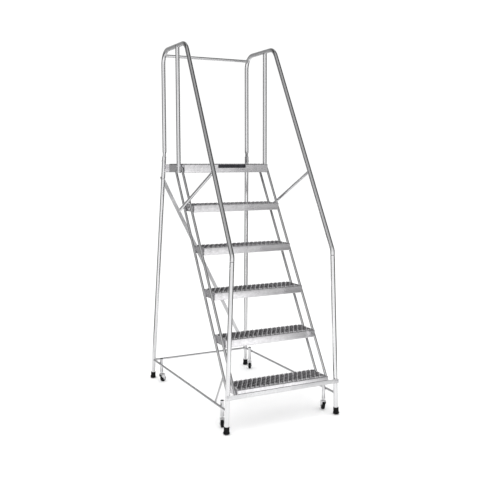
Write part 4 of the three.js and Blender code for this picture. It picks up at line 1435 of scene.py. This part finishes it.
    def set_axle(self, name, wheel, spin, c):
        """The wheel's axle, with a head on one side and a nut on the other."""
        shape = new_mesh()
        half, head_radius, head_height = c.axle_half, 0.0050, 0.0022
        lathe(shape, [(c.axle_radius, -half), (c.axle_radius, half)], wheel, spin, 18)
        for way in (spin, -spin):
            hexagon(shape, wheel + way * half, way, head_radius, head_height)
        end = wheel - spin * (half + head_height)
        threaded_end(shape, end, -spin, 0.0026, 0.0006, 0.0004)
        piece = piece_from(f"{name}_axle_bolt", shape)
        place_piece(piece, f"{name}_fork", finish("zinc"), [f"{name}_caster_axle"])

    def mould_wheel(self, name, wheel, spin, c):
        """A moulded wheel: crowned tread, recessed web and a hub on each side."""
        radius = wheel.z
        bore, half = c.axle_radius + 0.0001, c.wheel_half
        side = [
            (bore, half - 0.0002), (0.0062, half - 0.0002), (0.0068, half - 0.0008),
            (0.0072, 0.0068), (0.0085, 0.0060), (0.0135, 0.0060), (0.0148, 0.0068),
            (0.0152, half - 0.0006), (0.0158, half), (0.0182, half), (0.0200, half - 0.0006),
            (0.0212, half - 0.0020), (0.0218, half - 0.0042), (radius, 0.0025), (radius, 0.0),
        ]
        profile = side + [(r, -h) for r, h in reversed(side[:-1])] + [side[0]]
        shape = new_mesh()
        lathe(shape, profile, wheel, spin, 64)
        piece = piece_from(f"{name}_moulded_wheel", shape, 40.0)
        rubber = finish("wheel rubber")
        place_piece(piece, f"{name}_wheel", rubber, [f"{name}_caster_wheel"])


# ---------------------------------------------------------------- bolts and welds
class LADDER_OT_bolts(bpy.types.Operator):
    """Puts in the bolts of the front bar, the diagonal, the rail joints and the posts"""

    bl_idname = "ladder_stand.bolts"
    bl_label = "Bolts"
    head_depth = 0.0035  # from the front of a front bolt's head to the bar it holds

    def execute(self, context):
        s, b = context.scene.ladder_tubes, context.scene.ladder_bars
        left, right = both_sides()
        for lines in (left, right):
            node_name = f"{lines.name}_front_bar_bolt"
            low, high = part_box(node_name)
            centre = (low + high) / 2
            spot = Vector((centre.x, low.y + self.head_depth, centre.z))
            grip = 2 * s.rail_radius + 2 * TOUCH + b.angle_sheet
            self.one_bolt(node_name, spot, Vector((0, 1, 0)), grip)
        high_end, low_end, outward = diagonal_line(left, right, b)
        grip = 2 * s.rail_radius + 2 * TOUCH + b.diagonal_sheet
        for name, spot in (("left", high_end), ("right", low_end)):
            head = spot + outward * (s.rail_radius + TOUCH + b.diagonal_sheet)
            self.one_bolt(f"{name}_diagonal_bolt", head, -outward, grip)
        for lines in (left, right):
            self.side_screws(lines, s)
        return {"FINISHED"}

    def one_bolt(self, node_name, head, axis, grip):
        shape = new_mesh()
        through_bolt(shape, head, axis, grip)
        piece = piece_from(f"{node_name}_set", shape)
        place_piece(piece, "frame", finish("zinc"))
        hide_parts(node_name)

    def side_screws(self, lines, s):
        """Button-head screws in the rail joints, the post and the brace, from the outside."""
        f = bpy.context.scene.ladder_fasteners
        front_drop, rear_drop = 0.034, 0.030
        shape = new_mesh()
        out = Vector((lines.side, 0, 0))
        spots = [
            at_height(lines.front_foot, lines.front_seam, lines.front_seam.z - front_drop),
            at_height(lines.rear_foot, lines.rear_seam, lines.rear_seam.z - rear_drop),
        ]
        post = middle(f"{lines.name}_mid_post")
        spots += [Vector((post.x, post.y, s.post_foot + up)) for up in (0.012, 0.044)]
        for spot in spots:
            self.button(shape, spot + out * (s.rail_radius - SINK), out, f.screw_radius)
        low, _ = brace_ends(lines, s)
        foot = low + Vector((0, -0.012, 0.006)) + out * (s.brace_radius - SINK)
        self.button(shape, foot, out, f.brace_screw_radius)
        piece = piece_from(f"{lines.name}_side_screws", shape)
        place_piece(piece, "frame", finish("zinc"))

    def button(self, shape, face, out, radius):
        washer(shape, face, out, radius + 0.0012, 0.0014)
        profile = [(radius, 0.0013)]
        profile += [(radius * x, 0.0013 + 0.0026 * y) for x, y in arc(1.0, 15, 60, 5)]
        profile += [(radius * 0.22, 0.0039), (radius * 0.2, 0.0026), (0.0, 0.0026)]
        lathe(shape, profile, face, out, 24)


class LADDER_OT_welds(bpy.types.Operator):
    """Runs the weld beads of both sides and of the bars between them"""

    bl_idname = "ladder_stand.welds"
    bl_label = "Weld beads"

    def execute(self, context):
        s, f = context.scene.ladder_tubes, context.scene.ladder_fasteners
        left, right = both_sides()
        for lines in (left, right):
            self.weld_side(lines, s, f)
        shape = new_mesh()
        self.weld_between(shape, left, right, s, f)
        piece = piece_from("cross_bar_welds", shape, 60.0)
        place_piece(piece, "frame", finish("weld bead"))
        return {"FINISHED"}

    def weld_side(self, lines, s, f):
        """The beads of one side's rail, brace, post and strut, then its casters and steps."""
        low, high = brace_ends(lines, s)
        over = high + (high - low).normalized() * 0.012
        post = middle(f"{lines.name}_mid_post")
        top = Vector((lines.top_front.x, post.y, lines.top_front.z))
        post_top, post_foot = (Vector((post.x, post.y, z)) for z in (top.z, s.post_foot))
        strut_top, strut_foot = strut_ends(lines, s)
        front_leg = (lines.front_foot, lines.waist)
        rear_leg = (lines.rear_foot, lines.shoulder)
        handrail = (lines.waist, lines.top_front)
        top_rail = (top - Vector((0, 1, 0)), top + Vector((0, 1, 0)))
        base_rail = (lines.base_front, lines.base_rear)
        stringer = (lines.rear_stringer(0.2), lines.rear_stringer(0.5))
        rail, post_size, rod = s.rail_radius, s.rail_radius * 0.93, s.strut_radius
        shape = new_mesh()
        for start, towards, radius, main, main_radius, size in (
            (*base_rail, s.base_radius, front_leg, rail, f.tube_bead),
            (*base_rail[::-1], s.base_radius, rear_leg, rail, f.tube_bead),
            (over, low, s.brace_radius, handrail, rail, f.tube_bead),
            (post_top, post_foot, post_size, top_rail, rail + 0.0004, f.post_bead),
            (strut_foot, strut_top, rod, base_rail, s.base_radius, f.rod_bead),
            (strut_top, strut_foot, rod, stringer, s.stringer_radius, f.rod_bead),
        ):
            joint_bead(shape, start, towards, radius, main, main_radius, size)
        self.weld_housings(shape, lines, s, f)
        self.weld_steps(shape, lines, f)
        piece = piece_from(f"{lines.name}_side_welds", shape, 60.0)
        place_piece(piece, "frame", finish("weld bead"))

    def weld_housings(self, shape, lines, s, f):
        """Two beads hold each caster housing to the base rail."""
        half, rise = 0.006, 0.0035
        run = (lines.base_rear - lines.base_front).normalized() * half
        for end in ENDS:
            stem = middle(f"{end}_{lines.name}_caster_housing")
            spot = on_base_rail(lines, stem.y)
            face = spot - Vector((lines.side * s.base_radius * 0.9, 0, 0))
            for z in (-rise, rise):
                centre = face + Vector((0, 0, z))
                line_bead(shape, centre - run, centre + run, f.caster_bead)

    def weld_steps(self, shape, lines, f):
        """Beads along both edges of each stringer where it passes the end of a step."""
        limit = bpy.context.scene.ladder_bars.stair_bead_top
        short, spread, edge = 0.008, 0.0042, 0.003
        end_x = lines.side * (extent("tread_1").x / 2 + 0.0006)
        for node_name in [f"tread_{k}" for k in range(1, 6)] + ["platform"]:
            low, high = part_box(node_name)
            for line in (lines.front_stringer, lines.rear_stringer):
                start, end = line(low.z + short), line(min(high.z - short, limit))
                along = (end - start).normalized()
                aside = Vector((0, along.z, -along.y))
                for way in (-1, 1):
                    shift = aside * way * spread
                    first, last = start + shift, end + shift
                    first.x = last.x = end_x
                    if first.y > low.y + edge and last.y < high.y - edge:
                        line_bead(shape, first, last, f.stair_bead)

    def weld_between(self, shape, left, right, s, f):
        """The beads of the rear cross bar, the guard rail and the stringers' feet."""
        for lines, other in ((left, right), (right, left)):
            leg = (lines.rear_foot, lines.shoulder)
            joint_bead(
                shape, lines.base_rear, other.base_rear, s.base_radius, leg, s.rail_radius, f.tube_bead
            )
        guard = middle("rear_guard_rail")
        turn = math.asin((guard.z - left.top_front.z + s.top_bend) / s.top_bend)
        slope = Vector((0, -math.sin(turn), math.cos(turn)))
        for lines, other in ((left, right), (right, left)):
            spot = Vector((lines.top_rear.x, guard.y, guard.z))
            towards = Vector((other.top_rear.x, guard.y, guard.z))
            bend = (spot - slope, spot + slope)
            joint_bead(shape, spot, towards, s.brace_radius, bend, s.rail_radius, f.tube_bead)
        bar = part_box("front_cross_bar")
        for lines in (left, right):
            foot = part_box(f"{lines.name}_front_stringer")[0].z
            spot = lines.front_stringer(foot) + Vector((0, 0, 0.0002))
            wide, deep = s.stringer_radius + 0.0004, s.stringer_radius * 1.17 + 0.0004
            turns = [math.tau * k / 30 for k in range(30)]
            places = [spot + Vector((wide * math.cos(a), deep * math.sin(a), 0)) for a in turns]
            bead(shape, [q for q in places if q.y < bar[1].y], f.stair_bead, closed=False)


# ---------------------------------------------------------------- stage
class LADDER_OT_stage(bpy.types.Operator):
    """Sets the pale floor, the soft studio light and the camera"""

    bl_idname = "ladder_stand.stage"
    bl_label = "Studio"

    def execute(self, context):
        settings = context.scene.ladder_stage
        self.lay_floor(context)
        self.set_world(context.scene, settings)
        self.hang_panel(context, settings)
        camera = bpy.data.objects.new("studio_camera", bpy.data.cameras.new("studio_camera"))
        context.scene.collection.objects.link(camera)
        camera.location = settings.place
        camera.rotation_euler = settings.turn
        camera.data.lens = settings.lens
        camera.data.clip_end = 200
        context.scene.camera = camera
        context.scene.view_settings.view_transform = "Standard"
        return {"FINISHED"}

    def lay_floor(self, context):
        """A pale floor; bright metal sees the flats in it, further out from the stand."""
        shape = new_mesh()
        reach, low = 40.0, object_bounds()[0].z - 0.0002
        corners = ((-reach, -reach), (reach, -reach), (reach, reach), (-reach, reach))
        shape.faces.new([vert(shape, (x, y, low)) for x, y in corners])
        floor = piece_from("studio_floor", shape)
        material, tree, shader = surface("Studio floor", 0.0, 0.2)
        place = node(tree, "ShaderNodeTexCoord").outputs["Object"]
        tone = remap(tree, noise(tree, place, 1.3, 3.0), 0.3, 0.7, 0.995, 1.0)
        away = node(tree, "ShaderNodeVectorMath", {0: place}, operation="LENGTH").outputs["Value"]
        parts = node(tree, "ShaderNodeSeparateXYZ", {0: place}).outputs
        near, far, bright = 1.25, 2.0, 0.84
        around = remap(tree, away, near, far, bright, 0.0)
        flagged = maths(tree, "MAXIMUM", self.flats(tree, parts), around)
        rays = node(tree, "ShaderNodeLightPath").outputs
        mixed = {"Factor": rays["Is Glossy Ray"], 2: tone, 3: flagged}
        shade = node(tree, "ShaderNodeMix", mixed, data_type="FLOAT").outputs[0]
        pale = tinted(tree, context.scene.ladder_colours.floor, shade)
        tree.links.new(pale, shader.inputs["Base Color"])
        shader.inputs["Roughness"].default_value = 0.9
        floor.data.materials.append(material)
        floor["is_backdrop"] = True

    def set_world(self, scene, settings):
        """White to the eye; to bright metal, a lit horizon with darker flats and ceiling."""
        world = bpy.data.worlds.new("Studio surround")
        world.use_nodes = True
        tree = world.node_tree
        tree.nodes.clear()
        way = node(tree, "ShaderNodeTexCoord").outputs["Generated"]
        parts = node(tree, "ShaderNodeSeparateXYZ", {0: way}).outputs
        height = remap(tree, parts["Z"], -1.0, 1.0, 0.0, 1.0)
        ceiling = self.ramp(tree, height, [
            (-90, 0.95), (0, 1.0), (26, 1.0), (42, 0.55), (60, 0.42), (90, 0.6),
        ], lambda angle: (math.sin(math.radians(angle)) + 1) / 2)
        seen = maths(tree, "MULTIPLY", self.flats(tree, parts), ceiling)
        rays = node(tree, "ShaderNodeLightPath").outputs
        extra = maths(tree, "MULTIPLY", rays["Is Diffuse Ray"], settings.fill)
        lit = maths(tree, "ADD", settings.surround, extra)
        mixed = {"Factor": rays["Is Glossy Ray"], 2: lit, 3: seen}
        mix = node(tree, "ShaderNodeMix", mixed, data_type="FLOAT").outputs[0]
        back = node(tree, "ShaderNodeBackground", {"Color": mix, "Strength": 1.0})
        out = node(tree, "ShaderNodeOutputWorld", {"Surface": back.outputs[0]})
        out.is_active_output = True
        scene.world = world

    def flats(self, tree, parts):
        """Brightness all round the stand: bright flats in front, dark ones to its left and right."""
        turn = maths(tree, "ARCTAN2", parts["X"], maths(tree, "MULTIPLY", parts["Y"], -1.0))
        share = remap(tree, turn, -math.pi, math.pi, 0.0, 1.0)
        return self.ramp(tree, share, [
            (-180, 0.4), (-150, 0.3), (-128, 0.12), (-100, 0.16), (-78, 0.9), (-20, 0.95), (22, 1.0),
            (31, 0.3), (40, 0.1), (104, 0.1), (120, 0.85), (135, 0.8), (160, 0.45), (180, 0.4),
        ], lambda angle: (angle + 180) / 360)

    def ramp(self, tree, value, stops, where):
        made = node(tree, "ShaderNodeValToRGB", {"Fac": value})
        elements = made.color_ramp.elements
        elements[0].position, elements[1].position = where(stops[0][0]), where(stops[-1][0])
        for element, (_, grey) in zip((elements[0], elements[1]), (stops[0], stops[-1])):
            element.color = (grey, grey, grey, 1)
        for angle, grey in stops[1:-1]:
            element = elements.new(where(angle))
            element.color = (grey, grey, grey, 1)
        return made.outputs["Color"]

    def hang_panel(self, context, settings):
        """One large panel overhead, for a faint soft shadow."""
        light = bpy.data.lights.new("overhead_panel", "AREA")
        light.shape = "DISK"
        light.size = 3.5
        light.energy = settings.key_power
        panel = bpy.data.objects.new("overhead_panel", light)
        panel.location = (-1.2, -1.6, 4.6)
        panel.rotation_euler = (Vector((0, 0, 0.6)) - panel.location).to_track_quat("-Z", "Y").to_euler()
        panel.visible_glossy = False
        context.scene.collection.objects.link(panel)


# ---------------------------------------------------------------- add-on
class LADDER_PT_panel(bpy.types.Panel):
    """Lists the steps that build the ladder stand"""

    bl_idname = "LADDER_PT_panel"
    bl_label = "Ladder stand"
    bl_space_type = "VIEW_3D"
    bl_region_type = "UI"
    bl_category = "Ladder stand"

    def draw(self, context):
        for operator in OPERATORS:
            self.layout.operator(operator.bl_idname)
        for group in GROUPS:
            settings = getattr(context.scene, group)
            box = self.layout.box()
            for name in settings.__annotations__:
                box.prop(settings, name)


GROUPS = {
    "ladder_tubes": TubeSizes,
    "ladder_bars": BarSizes,
    "ladder_fasteners": FastenerSizes,
    "ladder_planks": PlankSizes,
    "ladder_casters": CasterSizes,
    "ladder_colours": FinishColours,
    "ladder_stage": StageSettings,
}
OPERATORS = (
    LADDER_OT_side_frames,
    LADDER_OT_base_bars,
    LADDER_OT_steps,
    LADDER_OT_tips,
    LADDER_OT_casters,
    LADDER_OT_bolts,
    LADDER_OT_welds,
    LADDER_OT_stage,
)


def register():
    for made in (*GROUPS.values(), *OPERATORS, LADDER_PT_panel):
        bpy.utils.register_class(made)
    for name, group in GROUPS.items():
        setattr(bpy.types.Scene, name, PointerProperty(type=group))


def unregister():
    for name in GROUPS:
        delattr(bpy.types.Scene, name)
    for made in reversed((*GROUPS.values(), *OPERATORS, LADDER_PT_panel)):
        bpy.utils.unregister_class(made)


def main():
    register()
    bpy.ops.ladder_stand.side_frames()
    bpy.ops.ladder_stand.base_bars()
    bpy.ops.ladder_stand.steps()
    bpy.ops.ladder_stand.tips()
    bpy.ops.ladder_stand.casters()
    bpy.ops.ladder_stand.bolts()
    bpy.ops.ladder_stand.welds()
    bpy.ops.ladder_stand.stage()
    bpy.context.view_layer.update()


if __name__ == "__main__":
    main()
